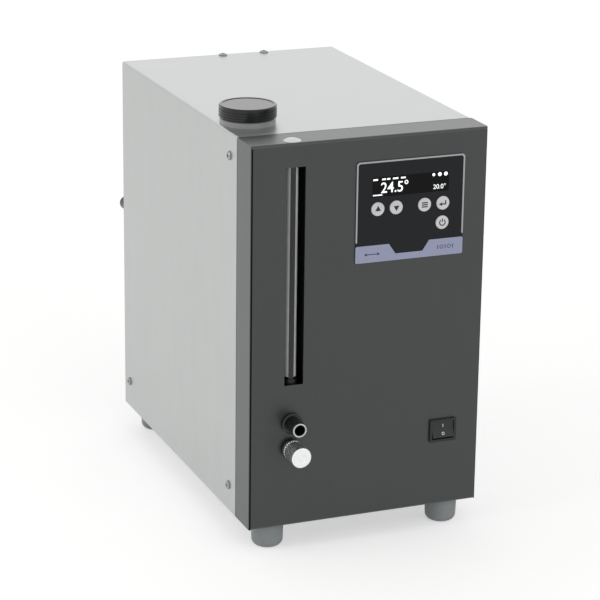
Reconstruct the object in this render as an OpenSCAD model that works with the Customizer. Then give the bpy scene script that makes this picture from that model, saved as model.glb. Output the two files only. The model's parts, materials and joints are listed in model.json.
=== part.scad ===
// Bench-top recirculating chiller: folded sheet casing on four feet, with the cooling
// circuit, the reservoir and the pump inside. X runs across the front panel, Y from the
// front panel to the rear panel and Z up. The origin is on the floor, under the middle
// of the casing. All sizes are in millimetres.

/* [Casing] */
// Width over the hood
case_w = 225; // [222:1:250]
// Depth from the front panel's face to the hood's rear edge
case_d = 360; // [358:1:400]
// Height of the casing above its feet
case_h = 356; // [350:1:390]
// Thickness of the hood's stainless sheet
hood_t = 1.2; // [0.8:0.1:1.5]
// Thickness of the other folded sheets
sheet_t = 1.5; // [1.2:0.1:1.8]
// Outside radius of the sheet bends
bend_r = 2.5; // [2.2:0.1:4]
// Depth of the front panel's flanges
panel_depth = 35; // [34:1:40]
// Open joint between the front panel and the hood
hood_gap = 1; // [0.5:0.1:2]
// Length of the flanges that the hood is screwed to
flange_len = 22; // [20:1:26]
// Clearance between sheets and pieces that sit side by side
fit_gap = 0.3; // [0.1:0.05:0.4]

/* [Feet] */
// Height of a foot
foot_h = 24; // [20:1:30]
// Radius of a foot at its top
foot_r = 15; // [13:0.5:17]
// Distance of a foot's axis from the casing's side
foot_inset_x = 25.5; // [22:0.5:30]
// Distance of a foot's axis from the casing's front or rear
foot_inset_y = 21; // [20:0.5:23]

/* [Filler] */
// Distance of the filler axis from the casing's left side
neck_inset_x = 28; // [27.5:0.1:28.5]
// Distance of the filler axis behind the hood's front edge
neck_inset_y = 48; // [40:1:60]
// Radius of the filler bore
neck_bore_r = 16.5; // [14:0.1:17]
// Wall of the filler neck
neck_wall = 1.5; // [1:0.1:1.8]
// Radius of the filler cap
cap_r = 26; // [24:0.5:26.5]
// Height of the filler cap
cap_h = 11; // [9:0.5:16]
// Height of the neck's collar on the hood
collar_h = 5; // [3:0.5:7]

/* [Sight glass] */
// Distance of the level tube's axis from the casing's left side
sight_inset = 41.5; // [40:0.5:44]
// Width of the sight slot
slot_w = 18; // [15:0.5:20]
// Height of the sight slot
slot_h = 200; // [150:5:205]
// Height of the slot's lower end above the casing's bottom
slot_z = 134.5; // [130:0.5:140]
// Radius of the level tube
tube_r = 5.8; // [5:0.1:6.5]
// Wall of the level tube
tube_wall = 1.6; // [1.2:0.1:2]

/* [Drain] */
// Distance of the drain fittings from the casing's left side
drain_inset = 39.5; // [36:0.5:42]
// Height of the nozzle's axis above the casing's bottom
nozzle_z = 99; // [96:0.5:100]
// Distance from the nozzle's axis down to the knob's axis
knob_drop = 24.3; // [22:0.1:26]
// Outer radius of a hose nozzle
nozzle_r = 7; // [6:0.1:8]
// Bore radius of a hose nozzle
nozzle_bore_r = 4.65; // [3.5:0.05:5]
// How far the drain nozzle stands out of the panel
nozzle_reach = 21; // [18:1:30]
// Radius of the drain knob
knob_r = 9.3; // [8:0.1:10.5]
// How far the furthest fittings stand out, in front and behind
reach = 27; // [25:0.5:35]
// Radius of the drain spindle
spindle_r = 4; // [3:0.1:5]
// Running clearance around the spindle, on the radius
running_gap = 0.05; // [0.03:0.01:0.1]

/* [Controller] */
// Distance of the controller's right edge from the casing's right side
ctrl_inset = 22.6; // [20:0.5:30]
// Width of the controller
ctrl_w = 104.3; // [102:0.1:112]
// Height of the controller with its lower strip
ctrl_h = 92.2; // [90:0.1:98]
// Distance of the controller's upper edge from the casing's top
ctrl_drop = 22.3; // [20:0.1:30]
// Thickness of the controller's overlay
foil_t = 0.8; // [0.6:0.1:1.2]
// Height of the lower strip
strip_h = 15.5; // [12:0.5:18]
// Width of the display window
window_w = 74; // [60:1:80]
// Height of the display window
window_h = 18; // [14:0.5:22]
// Radius of a key
key_r = 6.2; // [5:0.1:6.5]
// How far a key stands out of the overlay
key_proud = 1; // [0.8:0.1:1.6]
// Travel of a key
key_travel = 0.6; // [0.4:0.1:0.7]

/* [Switch] */
// Distance of the switch's middle from the casing's right side
switch_inset = 36.1; // [30:0.5:45]
// Height of the switch's middle above the casing's bottom
switch_z = 73.2; // [60:0.5:90]
// Width of the switch's bezel
switch_w = 26.2; // [24:0.1:30]
// Height of the switch's bezel
switch_h = 21.7; // [20:0.1:26]
// Tilt of the rocker between its two positions
rocker_tilt = 16; // [10:1:18]

/* [Reservoir] */
// Width of the tank
tank_w = 60; // [58:1:66]
// Depth of the tank
tank_d = 116; // [100:1:120]
// Distance of the tank's top from the casing's top
tank_drop = 30; // [28:1:40]
// Height of the tank's bottom above the casing's bottom
tank_z = 116; // [114:1:118]
// Wall of the tank
tank_wall = 1; // [0.6:0.1:1.5]
// Thickness of the tank's insulation
foam_t = 6; // [4:0.5:7]

/* [Cooling circuit] */
// Free space between the compressor and the tank's insulation
comp_clear = 29.5; // [28:0.5:40]
// Height of the compressor's shell
comp_h = 150; // [120:1:155]
// Free space between the condenser and the pump
cond_clear = 5.5; // [5.5:0.5:20]
// Height of the condenser's fin block
cond_h = 150; // [140:2:160]
// Depth of the condenser's fin block
cond_d = 34; // [26:1:36]
// Number of fins
fin_count = 20; // [10:1:30]
// Thickness of a fin
fin_t = 0.8; // [0.5:0.1:1.2]
// How much smaller the fan's frame is than the condenser's height
fan_margin = 10; // [8:1:30]
// Depth of the fan's frame
fan_d = 32; // [25:1:38]
// Number of fan blades
blade_count = 7; // [5:1:9]
// Pitch of a fan blade
blade_pitch = 32; // [20:1:40]
// Width of the evaporator
evap_w = 75; // [60:1:78]
// Depth of the evaporator
evap_d = 38; // [30:1:42]
// Height of the evaporator
evap_h = 192; // [170:1:200]
// Outer radius of the copper pipes
copper_r = 4; // [3:0.5:5]

/* [Water circuit] */
// Outer radius of the inner hoses
hose_r = 5.5; // [4.5:0.1:6]
// Radius of the pump's motor
motor_r = 30; // [24:1:31]
// Length of the pump's motor
motor_len = 82; // [60:1:90]
// Radius over the thread of a pump fitting
thread_r = 8; // [7:0.1:9]
// Bore radius of a pump fitting
fitting_bore_r = 5; // [4:0.1:5.5]
// Height of the supply fitting above the casing's bottom
supply_z = 181; // [178:1:184]
// Height of the return fitting above the casing's bottom
return_z = 141; // [138:1:144]
// Height of the overflow nozzle above the casing's bottom
overflow_z = 204; // [198:1:215]

/* [Rear panel] */
// How far the rear panel sits inside the hood
rear_inset = 1; // [0.5:0.1:2]
// Height of one air slot
vent_h = 4; // [3:0.5:5]
// Spacing of the air slots
vent_pitch = 9; // [8:0.5:12]
// Width of the mains inlet's face
inlet_w = 30; // [29:0.5:34]
// Height of the mains inlet's face
inlet_h = 24; // [23:0.5:28]

/* [Fasteners] */
// Head radius of the casing screws
screw_head_r = 4.2; // [3.5:0.1:5]
// Shank radius of the casing screws
screw_r = 2; // [1.5:0.1:2.2]
// Head height of the casing screws
screw_head_h = 2; // [1.2:0.1:2.6]

/* [Hidden] */
$fn = 48;

// Faces of the casing
side_x = case_w / 2;
front_y = -case_d / 2;
rear_y = case_d / 2;
base_z = foot_h;
top_z = foot_h + case_h;
hood_y = front_y + panel_depth + hood_gap;
hood_in_x = side_x - hood_t;
hood_in_z = top_z - hood_t;
panel_in_y = front_y + sheet_t;

// Inner sheets
inner_x = hood_in_x - fit_gap;
inner_top_z = hood_in_z - fit_gap;
bulkhead_y = hood_y - hood_gap + fit_gap;
bulkhead_in_y = bulkhead_y + sheet_t;
rear_out_y = rear_y - rear_inset;
rear_in_y = rear_out_y - sheet_t;
floor_z0 = base_z + sheet_t + fit_gap;
floor_z = floor_z0 + sheet_t;
floor_x = side_x - sheet_t - fit_gap;
floor_lip_h = 12;
panel_lip = 10;
inner_bend_r = 0.4;
lip_margin = 8;

// Feet
foot_boss_r = foot_r * 2 / 3;
foot_taper = 0.6;
foot_round = 6;
foot_sink_gap = 1.6;
foot_sink_r = screw_head_r + foot_sink_gap;
foot_sink_h = foot_h / 2;

// Casing screws, as distances from the casing's edges
hood_screw_front = 18.2;
hood_screw_rear = 15.4;
hood_screw_low = 24.3;
hood_screw_rear_low = 26.8;
hood_screw_high = 20.7;
top_screw_rear = 5;
top_screw_xs = [-8.8, 34.9];
screw_len = 7;
rear_head = 0.8;
recess_w = 0.9;
recess_depth = 1.2;
head_rim = 0.55;
head_crown = 0.62;
recess_share = 0.55;

// Filler
neck_x = -side_x + neck_inset_x;
neck_y = hood_y + neck_inset_y;
neck_r = neck_bore_r + neck_wall;
neck_hole_gap = 0.5;
collar_r = cap_r - 0.8;
gasket_h = 1;
gasket_gap = 0.2;
cap_z = top_z + collar_h + gasket_gap + gasket_h;
spigot_gap = 0.5;
spigot_len = 12;
spigot_wall = 2;
cap_chamfer = 1;
cap_dish_r = cap_r - 3;
cap_dish_depth = 0.4;
cap_groove = 0.7;
cap_groove_count = 3;
groove_share = 0.45;

// Reservoir
tank_x0 = -inner_x + sheet_t + fit_gap + foam_t;
tank_x1 = tank_x0 + tank_w;
tank_y0 = bulkhead_in_y + fit_gap + foam_t;
tank_y1 = tank_y0 + tank_d;
tank_h = case_h - tank_z - tank_drop;
tank_z0 = base_z + tank_z;
tank_z1 = tank_z0 + tank_h;
tank_round = 8;
foam_z0 = tank_z0 - foam_t;
foam_z1 = tank_z1 - foam_t;
stand_z = foam_z0 - sheet_t;

// Level tube
sight_x = -side_x + sight_inset;
tube_depth = 9;
tube_y = panel_in_y + tube_depth;
slot_z0 = base_z + slot_z;
slot_z1 = slot_z0 + slot_h;
channel_side = 3;
channel_d = 21;
channel_below = 16;
channel_above = 14;
level_drop = 6.5;
fitting_rise = 4;
tube_headroom = 4;
barb_gap = 0.2;
channel_w = slot_w + 2 * channel_side;
channel_y1 = panel_in_y + fit_gap + channel_d;
channel_z0 = slot_z0 - channel_below;
channel_z1 = slot_z1 + channel_above;
level_z = slot_z0 - level_drop;
fitting_z1 = slot_z0 + fitting_rise;
tube_z1 = top_z - sheet_t - tube_headroom;
barb_r = tube_r - tube_wall - barb_gap;
barb_len = 6;
plug_r = 8;
plug_h = 2.2;
plug_stem_len = 12;

// Drain
drain_x = -side_x + drain_inset;
nozzle_axis_z = base_z + nozzle_z;
knob_z = nozzle_axis_z - knob_drop;
base_ring_w = 2.6;
base_ring_r = nozzle_r + base_ring_w;
base_ring_h = 4.5;
valve_w = 24;
valve_d = 24;
valve_y0 = panel_in_y + fit_gap;
valve_y1 = valve_y0 + valve_d;
valve_below = 13;
valve_above = 12;
stub_wall = 1.2;
valve_z0 = knob_z - valve_below;
valve_z1 = nozzle_axis_z + valve_above;
stub_r = nozzle_bore_r + stub_wall;
bore_step = 1;
bore_shrink = 0.8;
stub_len = 10;
knob_gap = 0.5;
knob_y0 = front_y - reach;
knob_y1 = front_y - base_ring_h - knob_gap;
flute_count = 24;
flute_r = 0.8;
drain_port_in = tank_d * 0.31;
drain_pipe_y = tank_y0 + drain_port_in;
drain_pipe_z = (nozzle_axis_z + knob_z) / 2;
flute_sink = 0.35;
flute_front = 3;
flute_back = 1.5;

// Controller
ctrl_x1 = side_x - ctrl_inset;
ctrl_x0 = ctrl_x1 - ctrl_w;
ctrl_z1 = top_z - ctrl_drop;
ctrl_z0 = ctrl_z1 - ctrl_h;
ctrl_mid_x = (ctrl_x0 + ctrl_x1) / 2;
foil_y = front_y - foil_t;
trim_w = 1.4;
trim_t = 0.5;
trim_round = 3;
strip_z1 = ctrl_z0 + strip_h;
trim_gap = 3.4;
trim_z0 = strip_z1 + trim_gap;
notch_w = 40.6;
notch_bottom_w = 26.3;
notch_depth = 9.5;
notch_mid_x = ctrl_x0 + 51.8;
window_drop = 14.7;
window_z1 = ctrl_z1 - window_drop;
window_t = 0.6;
window_gap = 0.1;
key_gap = 0.3;
key_base = 0.3;
key_edge = 0.4;
stem_r = 1.5;
stem_len = 0.3;
key_row_drop = 43.7;
power_row_drop = 61.6;
cutout_margin = 8;
cutout_inset = 4;
housing_d = 26;
housing_wall = 2;
board_y = front_y + stem_len + key_travel + key_gap;
board_t = 1.6;
post_r = 3;
// Places of the keys, from the controller's left and upper edges
key_up_at = [20.7, key_row_drop];
key_down_at = [38.4, key_row_drop];
key_set_at = [65.9, key_row_drop];
key_enter_at = [83.8, key_row_drop];
key_power_at = [83.6, power_row_drop];

// Switch
switch_x = side_x - switch_inset;
switch_mid_z = base_z + switch_z;
switch_t = 2.2;
switch_rim = 2.4;
switch_body_d = 18;
rocker_gap = 0.4;
rocker_w = switch_w - 2 * switch_rim - 2 * rocker_gap;
rocker_h = switch_h - 2 * switch_rim - 2 * rocker_gap;
rocker_axis_y = front_y + 3;
rocker_face = 4.4;
rocker_pin_r = 1.5;
rocker_edge = 0.6;
rocker_back = 5;

// Pipe and hose walls
copper_wall = 1;
hose_wall = 1.5;
pipe_bend = 12;

// Compressor
comp_side_gap = 7;
comp_front_gap = 32.2;
comp_r = (hood_in_x - comp_side_gap - comp_clear - foam_t - tank_x1) / 2;
comp_x = hood_in_x - comp_r - comp_side_gap;
comp_y = bulkhead_in_y + comp_front_gap + comp_r;
grommet_h = 10;
grommet_r = 8;
grommet_inset = 2;
grommet_orbit = comp_r - grommet_inset;
comp_z0 = floor_z + grommet_h;
comp_z1 = comp_z0 + comp_h;
comp_round = 18;
comp_foot_t = 3;
comp_foot_r = 12;
comp_foot_hole_r = 4;
comp_foot_angles = [90, 210, 330];
seam_at = 0.62;
terminal_at = 0.36;
terminal_w = 46;
terminal_h = 34;
terminal_d = 14;
terminal_round = 5;
seam_h = 6;
seam_t = 1.5;

// Fan and condenser
pump_shift = 2;
pump_x = tank_x0 + tank_w / 2 - pump_shift;
fan_side_gap = 11;
fan_lift = 13;
cond_w = hood_in_x - fan_side_gap - cond_clear - motor_r - pump_x;
cond_x = hood_in_x - cond_w / 2 - fan_side_gap;
fan_x = cond_x;
fan_w = min(cond_w, cond_h - fan_margin);
fan_z = floor_z + cond_h / 2 + fan_lift;
fan_y1 = rear_in_y - fit_gap;
fan_y0 = fan_y1 - fan_d;
duct_rim = 5;
blade_gap = 2;
duct_r = fan_w / 2 - duct_rim;
rotor_r = duct_r - blade_gap;
hub_r = 22;
hub_gap = 0.6;
strut_w = 6;
fan_wall = 3;
fan_screw_inset = 8;
fan_screw_at = fan_w / 2 - fan_screw_inset;
shaft_r = 3;
cond_y1 = fan_y0 - fit_gap;
cond_y0 = cond_y1 - cond_d;
cond_z1 = floor_z + cond_h;
cond_end_t = 1.5;
cond_rows = 8;
row_pitch = cond_h / cond_rows;
coil_stub = 2;
coil_room = row_pitch / 2 + copper_r + coil_stub + 0.5;
coil_x0 = cond_x - cond_w / 2 + coil_room;
coil_x1 = cond_x + cond_w / 2 - coil_room;

// Evaporator
evap_side_gap = 5;
evap_x1 = hood_in_x - evap_side_gap;
evap_x0 = evap_x1 - evap_w;
dryer_room = 28;
evap_y1 = cond_y0 - dryer_room;
evap_y0 = evap_y1 - evap_d;
evap_z1 = floor_z + evap_h;
evap_plates = 12;
plate_cut = 0.7;
dryer_r = 7;
line_x = coil_x1 + coil_stub + pipe_bend + 1;

// Pipes and hoses
discharge_gap = 8;
discharge_z = evap_z1 + 2 * copper_r + discharge_gap;
discharge_y = cond_y0 + cond_d / 2;
discharge_x = comp_x;
suction_share = [0.4, 0.44];
suction_drop = 14;
suction_x = comp_x + comp_r * suction_share[0];
suction_y = comp_y + comp_r * suction_share[1];
suction_z = evap_z1 - suction_drop;

// Pump
pump_hose_room = 34;
pump_y0 = tank_y1 + foam_t + pump_hose_room;
pump_head_len = 22;
pump_port_len = 6;
pump_head_step = 2;
motor_grooves = 11;
groove_w = 3;
groove_depth = 2.5;
groove_end = 8;
port_tail = 5.5;
pump_head_r = motor_r - pump_head_step;
pump_y1 = pump_y0 + pump_head_len + motor_len;
pump_lift = 4;
pump_z = floor_z + motor_r + pump_lift;
pump_foot_w = motor_r * 1.4;
pump_port_rise = tank_h * 0.12;
pump_hose_out = 2 * pipe_bend;
pump_hose_z = tank_z0 + pump_port_rise;
pump_hose_y = pump_y0 - pump_hose_out;
pump_outlet_y = pump_y0 + pump_head_len / 2;
supply_hose_rise = evap_h * 0.615;
supply_hose_z = floor_z + supply_hose_rise;
evap_port_inset = 12;
evap_port_x = evap_x0 + evap_port_inset;

// Rear fittings
port_inset = 5;
fitting_x = tank_x1 - hose_r - port_inset;
overflow_edge = 11.3;
overflow_nozzle_x = -side_x + overflow_edge;
supply_axis_z = base_z + supply_z;
return_axis_z = base_z + return_z;
overflow_axis_z = base_z + overflow_z;
overflow_rise = 14;
overflow_top_z = tank_z1 + overflow_rise;
// Port in the tank's top where the overflow hose starts
overflow_port = [overflow_nozzle_x + 2 * pipe_bend + 1, tank_y1 - 20];
// Ports in the tank's back, as [x, z]
tank_back_ports = [[fitting_x, return_axis_z], [pump_x, pump_hose_z]];
hex_rim = 3;
hex_r = thread_r + hex_rim;
hex_h = 6;
fitting_reach = 22;
fitting_tail = 7;
lock_nut_h = 4;
tail_len = 14;
tail_bore_r = 3;
clamp_t = 0.8;
clamp_w = 5;
clamp_screw = [7, 4];
outlet_hose_y = evap_y0 + evap_d / 2;

// Mains inlet
inlet_x = pump_x;
inlet_rise = 38;
inlet_z = base_z + inlet_rise;
inlet_flange_w = 50;
inlet_flange_t = 3;
inlet_body_d = 22;
socket_w = 24.4;
socket_h = 16.6;
socket_depth = 16;
socket_corner = 4;
pin_size = [2, 11.5, 4];
pin_pitch = 7;
inlet_screw_inset = 5.5;
inlet_screw_at = inlet_flange_w / 2 - inlet_screw_inset;

// Height of a row of the condenser's coil, counted from the lowest
function coil_z(row) = floor_z + (row + 0.5) * row_pitch;

// Moves its children to the casing's right side (1) or left side (-1)
module at_side(side) {
    mirror([side < 0 ? 1 : 0, 0, 0]) children();
}

// Rectangle with round corners, centred on the origin
module round_rect(w, h, r) {
    square([w - 2 * r, h], center = true);
    square([w, h - 2 * r], center = true);
    for (sx = [-1, 1], sy = [-1, 1])
        translate([sx * (w / 2 - r), sy * (h / 2 - r)]) circle(r);
}

// Box with its corner at the origin
module box_from(low, high) {
    translate(low) cube(high - low);
}

// Section of a sheet bent back on both sides: the bends at y = 0, the open side at y = d
module bent_section(w, d, r) {
    translate([-w / 2 + r, 0]) square([w - 2 * r, d]);
    translate([-w / 2, r]) square([w, d - r]);
    for (s = [-1, 1]) translate([s * (w / 2 - r), r]) circle(r);
}

// Solid block of a folded tray, its face at y = 0 and its bottom at z = 0
module tray_block(w, h, d, r) {
    intersection() {
        linear_extrude(h) bent_section(w, d, r);
        translate([w / 2, 0, h / 2]) rotate([0, -90, 0]) linear_extrude(w) bent_section(h, d, r);
    }
}

// Turns a shape made along +Z so that it runs along +Y
module along_y() {
    rotate([-90, 0, 0]) children();
}

// Round rod along Y from y0 to y1
module rod_y(r, y0, y1) {
    translate([0, y0, 0]) along_y() cylinder(r = r, h = y1 - y0);
}

// Ring section for rotate_extrude or linear_extrude
module ring(r_out, r_in) {
    difference() {
        circle(r_out);
        circle(r_in);
    }
}

// Direction from one point to the next
function heading(a, b) = (b - a) / norm(b - a);

// Straight tube between two points that lie along one axis
module straight_tube(a, b, r, wall) {
    d = heading(a, b);
    translate(a) rotate([0, acos(d[2]), atan2(d[1], d[0])])
        linear_extrude(norm(b - a)) ring(r, r - wall);
}

// Quarter bend around the corner p, between the directions d0 and d1
module bend_tube(p, d0, d1, r, wall, bend) {
    c = p + (d1 - d0) * bend;
    n = cross(d0, d1);
    multmatrix([
        [-d1[0], d0[0], n[0], c[0]],
        [-d1[1], d0[1], n[1], c[1]],
        [-d1[2], d0[2], n[2], c[2]],
        [0, 0, 0, 1]
    ]) rotate_extrude(angle = 90) translate([bend, 0]) ring(r, r - wall);
}

// Pipe through points, straight along the axes and bent at its corners
module pipe(points, r, wall, bend = pipe_bend) {
    last = len(points) - 1;
    for (i = [0 : last - 1]) {
        d = heading(points[i], points[i + 1]);
        start = points[i] + d * (i == 0 ? 0 : bend);
        end = points[i + 1] - d * (i == last - 1 ? 0 : bend);
        straight_tube(start, end, r, wall);
    }
    for (i = [1 : last - 1])
        bend_tube(points[i], heading(points[i - 1], points[i]), heading(points[i], points[i + 1]),
                  r, wall, bend);
}

// Pan head screw along +Z, its head's seat at z = 0 and its shank below
module pan_screw(head_r, shank_r, head_h, shank_len) {
    difference() {
        union() {
            cylinder(r = head_r, h = head_h * head_rim);
            translate([0, 0, head_h * head_rim])
                cylinder(r1 = head_r, r2 = head_r * head_crown, h = head_h * (1 - head_rim));
            translate([0, 0, -shank_len]) cylinder(r = shank_r, h = shank_len);
        }
        for (a = [0, 90]) rotate([0, 0, a])
            translate([-head_r * recess_share, -recess_w / 2, head_h - recess_depth])
                cube([2 * head_r * recess_share, recess_w, recess_depth + 1]);
    }
}

// Places of the hood's side screws, as [y, z]
function side_screw_places() = [
    [hood_y + hood_screw_front, top_z - hood_screw_high],
    [hood_y + hood_screw_front, base_z + hood_screw_low],
    [rear_y - hood_screw_rear, base_z + hood_screw_rear_low]
];

// Puts its children at each of the hood's side screws, along +X
module at_side_screws() {
    for (side = [-1, 1], place = side_screw_places())
        at_side(side) translate([side_x, place[0], place[1]])
            rotate([0, 90, 0]) children();
}

// Puts its children at each of the hood's top screws, along +Z
module at_top_screws() {
    for (x = top_screw_xs) translate([x, rear_y - top_screw_rear, top_z]) children();
}

// Shank holes of the hood's screws
module hood_screw_holes() {
    hole_r = screw_r + fit_gap;
    at_side_screws() translate([0, 0, -flange_len / 2]) cylinder(r = hole_r, h = flange_len);
    at_top_screws() translate([0, 0, -flange_len / 2]) cylinder(r = hole_r, h = flange_len);
}

// Puts its children under each foot's axis
module at_foot(side, end) {
    translate([side * (side_x - foot_inset_x), end * (rear_y - foot_inset_y), 0]) children();
}

// Puts its children at all four feet
module at_feet() {
    for (side = [-1, 1], end = [-1, 1]) at_foot(side, end) children();
}

// Casing
module hood() {
    color("#C3C6C5") difference() {
        translate([0, hood_y, top_z]) rotate([-90, 0, 0])
            linear_extrude(rear_y - hood_y) difference() {
                bent_section(case_w, case_h, bend_r);
                translate([0, hood_t]) bent_section(case_w - 2 * hood_t, case_h, bend_r - hood_t);
            }
        hood_screw_holes();
        translate([neck_x, neck_y, hood_in_z - 1]) cylinder(r = neck_r + neck_hole_gap, h = hood_t + 2);
    }
}

module front_panel() {
    cut = sheet_t + 2;
    lip_y = front_y + panel_depth - sheet_t;
    color("#45484A") difference() {
        union() {
            translate([0, front_y, base_z]) difference() {
                tray_block(case_w, case_h, panel_depth, bend_r);
                translate([0, sheet_t, sheet_t])
                    tray_block(case_w - 2 * sheet_t, case_h - 2 * sheet_t, panel_depth, bend_r - sheet_t);
            }
            for (side = [-1, 1]) at_side(side)
                box_from([side_x - sheet_t - panel_lip, lip_y, base_z + lip_margin],
                         [side_x - sheet_t / 2, lip_y + sheet_t, top_z - lip_margin]);
        }
        box_from([sight_x - slot_w / 2, front_y - 1, slot_z0],
                 [sight_x + slot_w / 2, front_y + cut, slot_z1]);
        translate([sight_x, tube_y, top_z - cut]) cylinder(r = barb_r + fit_gap, h = cut + 1);
        translate([drain_x, 0, nozzle_axis_z]) rod_y(stub_r + fit_gap, front_y - 1, front_y + cut);
        translate([drain_x, 0, knob_z]) rod_y(spindle_r + 1, front_y - 1, front_y + cut);
        box_from([ctrl_x0 + cutout_margin, front_y - 1, trim_z0],
                 [ctrl_x1 - cutout_margin, front_y + cut, ctrl_z1 - cutout_margin]);
        translate([switch_x, front_y - 1, switch_mid_z]) along_y()
            linear_extrude(cut + 1) square([switch_w - switch_rim, switch_h - switch_rim], center = true);
        for (side = [-1, 1]) at_foot(side, -1)
            translate([0, 0, base_z - 1]) cylinder(r = foot_boss_r + fit_gap, h = cut + 1);
    }
}

module front_bulkhead() {
    flange_y = bulkhead_y + sheet_t + flange_len;
    wall_w = 2 * inner_x;
    color("#9DA0A1") difference() {
        translate([0, bulkhead_y, floor_z]) difference() {
            tray_block(wall_w, inner_top_z - floor_z, sheet_t + flange_len, bend_r - hood_t);
            translate([0, sheet_t, -1])
                linear_extrude(inner_top_z - floor_z - sheet_t + 1)
                    bent_section(wall_w - 2 * sheet_t, flange_len + 1, inner_bend_r);
        }
        hood_screw_holes();
        translate([sight_x, 0, level_z]) rod_y(hose_r + fit_gap, bulkhead_y - 1, flange_y);
        translate([drain_x, 0, drain_pipe_z]) rod_y(hose_r + fit_gap, bulkhead_y - 1, flange_y);
    }
}

module rear_panel() {
    vent_w = fan_w - 20;
    vent_roundness = 0.86;
    rows = floor(vent_w / vent_pitch);
    flange_y0 = rear_in_y - flange_len;
    z0 = base_z + fit_gap;
    mid_h = inner_top_z - z0;
    color("#9DA0A1") difference() {
        translate([0, rear_out_y, z0]) mirror([0, 1, 0]) difference() {
            tray_block(2 * inner_x, mid_h, sheet_t + flange_len, bend_r - hood_t);
            translate([0, sheet_t, -1])
                linear_extrude(mid_h - sheet_t + 1)
                    bent_section(2 * (inner_x - sheet_t), flange_len + 1, inner_bend_r);
        }
        box_from([-side_x, flange_y0 - 1, z0 - 1], [side_x, rear_in_y, floor_z + fit_gap]);
        hood_screw_holes();
        for (i = [0 : rows - 1]) {
            z = fan_z + (i - (rows - 1) / 2) * vent_pitch;
            half = vent_w / 2 * sqrt(1 - pow(vent_roundness * 2 * (z - fan_z) / vent_w, 2));
            translate([fan_x, rear_in_y - 1, z]) along_y()
                linear_extrude(sheet_t + 2) round_rect(2 * half, vent_h, vent_h / 2 - 0.01);
        }
        for (sx = [-1, 1], sz = [-1, 1]) translate([fan_x + sx * fan_screw_at, 0, fan_z + sz * fan_screw_at])
            rod_y(screw_r + fit_gap, rear_in_y - 1, rear_out_y + 1);
        for (z = [supply_axis_z, return_axis_z]) translate([fitting_x, 0, z])
            rod_y(thread_r + fit_gap, rear_in_y - 1, rear_out_y + 1);
        translate([overflow_nozzle_x, 0, overflow_axis_z])
            rod_y(stub_r + fit_gap, rear_in_y - 1, rear_out_y + 1);
        box_from([inlet_x - inlet_w / 2 - fit_gap, rear_in_y - 1, inlet_z - inlet_h / 2 - fit_gap],
                 [inlet_x + inlet_w / 2 + fit_gap, rear_out_y + 1, inlet_z + inlet_h / 2 + fit_gap]);
        for (s = [-1, 1]) translate([inlet_x + s * inlet_screw_at, 0, inlet_z])
            rod_y(screw_r + fit_gap, rear_in_y - 1, rear_out_y + 1);
    }
}

module base_plate() {
    front = panel_in_y + fit_gap;
    back = rear_in_y - fit_gap;
    lip_y0 = bulkhead_in_y + flange_len + fit_gap;
    lip_y1 = rear_in_y - flange_len - fit_gap;
    intake_w = 90;
    intake_count = 6;
    intake_y0 = evap_y1 + 3;
    intake_pitch = 4.4;
    intake_slot = 2.4;
    color("#8C8F90") difference() {
        union() {
            box_from([-floor_x, front, floor_z0], [floor_x, back, floor_z]);
            for (side = [-1, 1]) at_side(side)
                box_from([floor_x - sheet_t, lip_y0, floor_z0], [floor_x, lip_y1, floor_z + floor_lip_h]);
        }
        at_feet() translate([0, 0, floor_z0 - 1]) cylinder(r = screw_r + fit_gap, h = sheet_t + 2);
        for (i = [0 : intake_count - 1])
            translate([cond_x - intake_w / 2, intake_y0 + i * intake_pitch, floor_z0 - 1])
                cube([intake_w, intake_slot, sheet_t + 2]);
    }
}

// Foot with a round lower edge, a boss for the base plate and a sunk screw hole
module foot() {
    low_r = foot_r - foot_taper;
    color("#7F8485") difference() {
        rotate_extrude() {
            difference() {
                union() {
                    polygon([[0, 0], [low_r - foot_round, 0], [low_r, foot_round],
                             [foot_r, foot_h], [0, foot_h]]);
                    translate([low_r - foot_round, foot_round]) intersection() {
                        circle(foot_round);
                        translate([0, -foot_round]) square(foot_round);
                    }
                    translate([0, foot_h - 1]) square([foot_boss_r, floor_z0 - foot_h + 1]);
                }
                translate([-1, -1]) square([foot_sink_r + 1, foot_sink_h + 1]);
                translate([-1, -1]) square([screw_r + fit_gap + 1, floor_z0 + 2]);
            }
        }
    }
}

module foot_front_left() {
    at_foot(-1, -1) foot();
}

module foot_front_right() {
    at_foot(1, -1) foot();
}

module foot_rear_left() {
    at_foot(-1, 1) foot();
}

module foot_rear_right() {
    at_foot(1, 1) foot();
}

module foot_screws() {
    color("#C9CBCC") at_feet() translate([0, 0, foot_sink_h]) mirror([0, 0, 1])
        pan_screw(screw_head_r, screw_r, screw_head_h, floor_z - foot_sink_h + 3);
}

module hood_screws() {
    color("#C9CBCC") {
        at_side_screws() pan_screw(screw_head_r, screw_r, screw_head_h, screw_len);
        at_top_screws() pan_screw(screw_head_r, screw_r, screw_head_h, screw_len);
    }
}

module rear_screws() {
    fan_places = [for (sx = [-1, 1], sz = [-1, 1])
        [fan_x + sx * fan_screw_at, rear_out_y, fan_z + sz * fan_screw_at]];
    inlet_places = [for (s = [-1, 1])
        [inlet_x + s * inlet_screw_at, rear_out_y + inlet_flange_t, inlet_z]];
    color("#C9CBCC") for (p = concat(fan_places, inlet_places))
        translate(p) along_y()
            pan_screw(screw_head_r * rear_head, screw_r, screw_head_h * rear_head, screw_len);
}

// Filler and reservoir
module filler_neck() {
    edge = 0.8;
    color("#5A5C5B") translate([neck_x, neck_y, 0]) rotate_extrude() {
        difference() {
            union() {
                translate([0, tank_z1]) square([neck_r, top_z - tank_z1 + 1]);
                polygon([[0, top_z], [collar_r, top_z], [collar_r, top_z + collar_h - edge],
                         [collar_r - edge, top_z + collar_h], [0, top_z + collar_h]]);
            }
            translate([-1, tank_z1 - 1]) square([neck_bore_r + 1, top_z + collar_h - tank_z1 + 2]);
        }
    }
}

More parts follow.
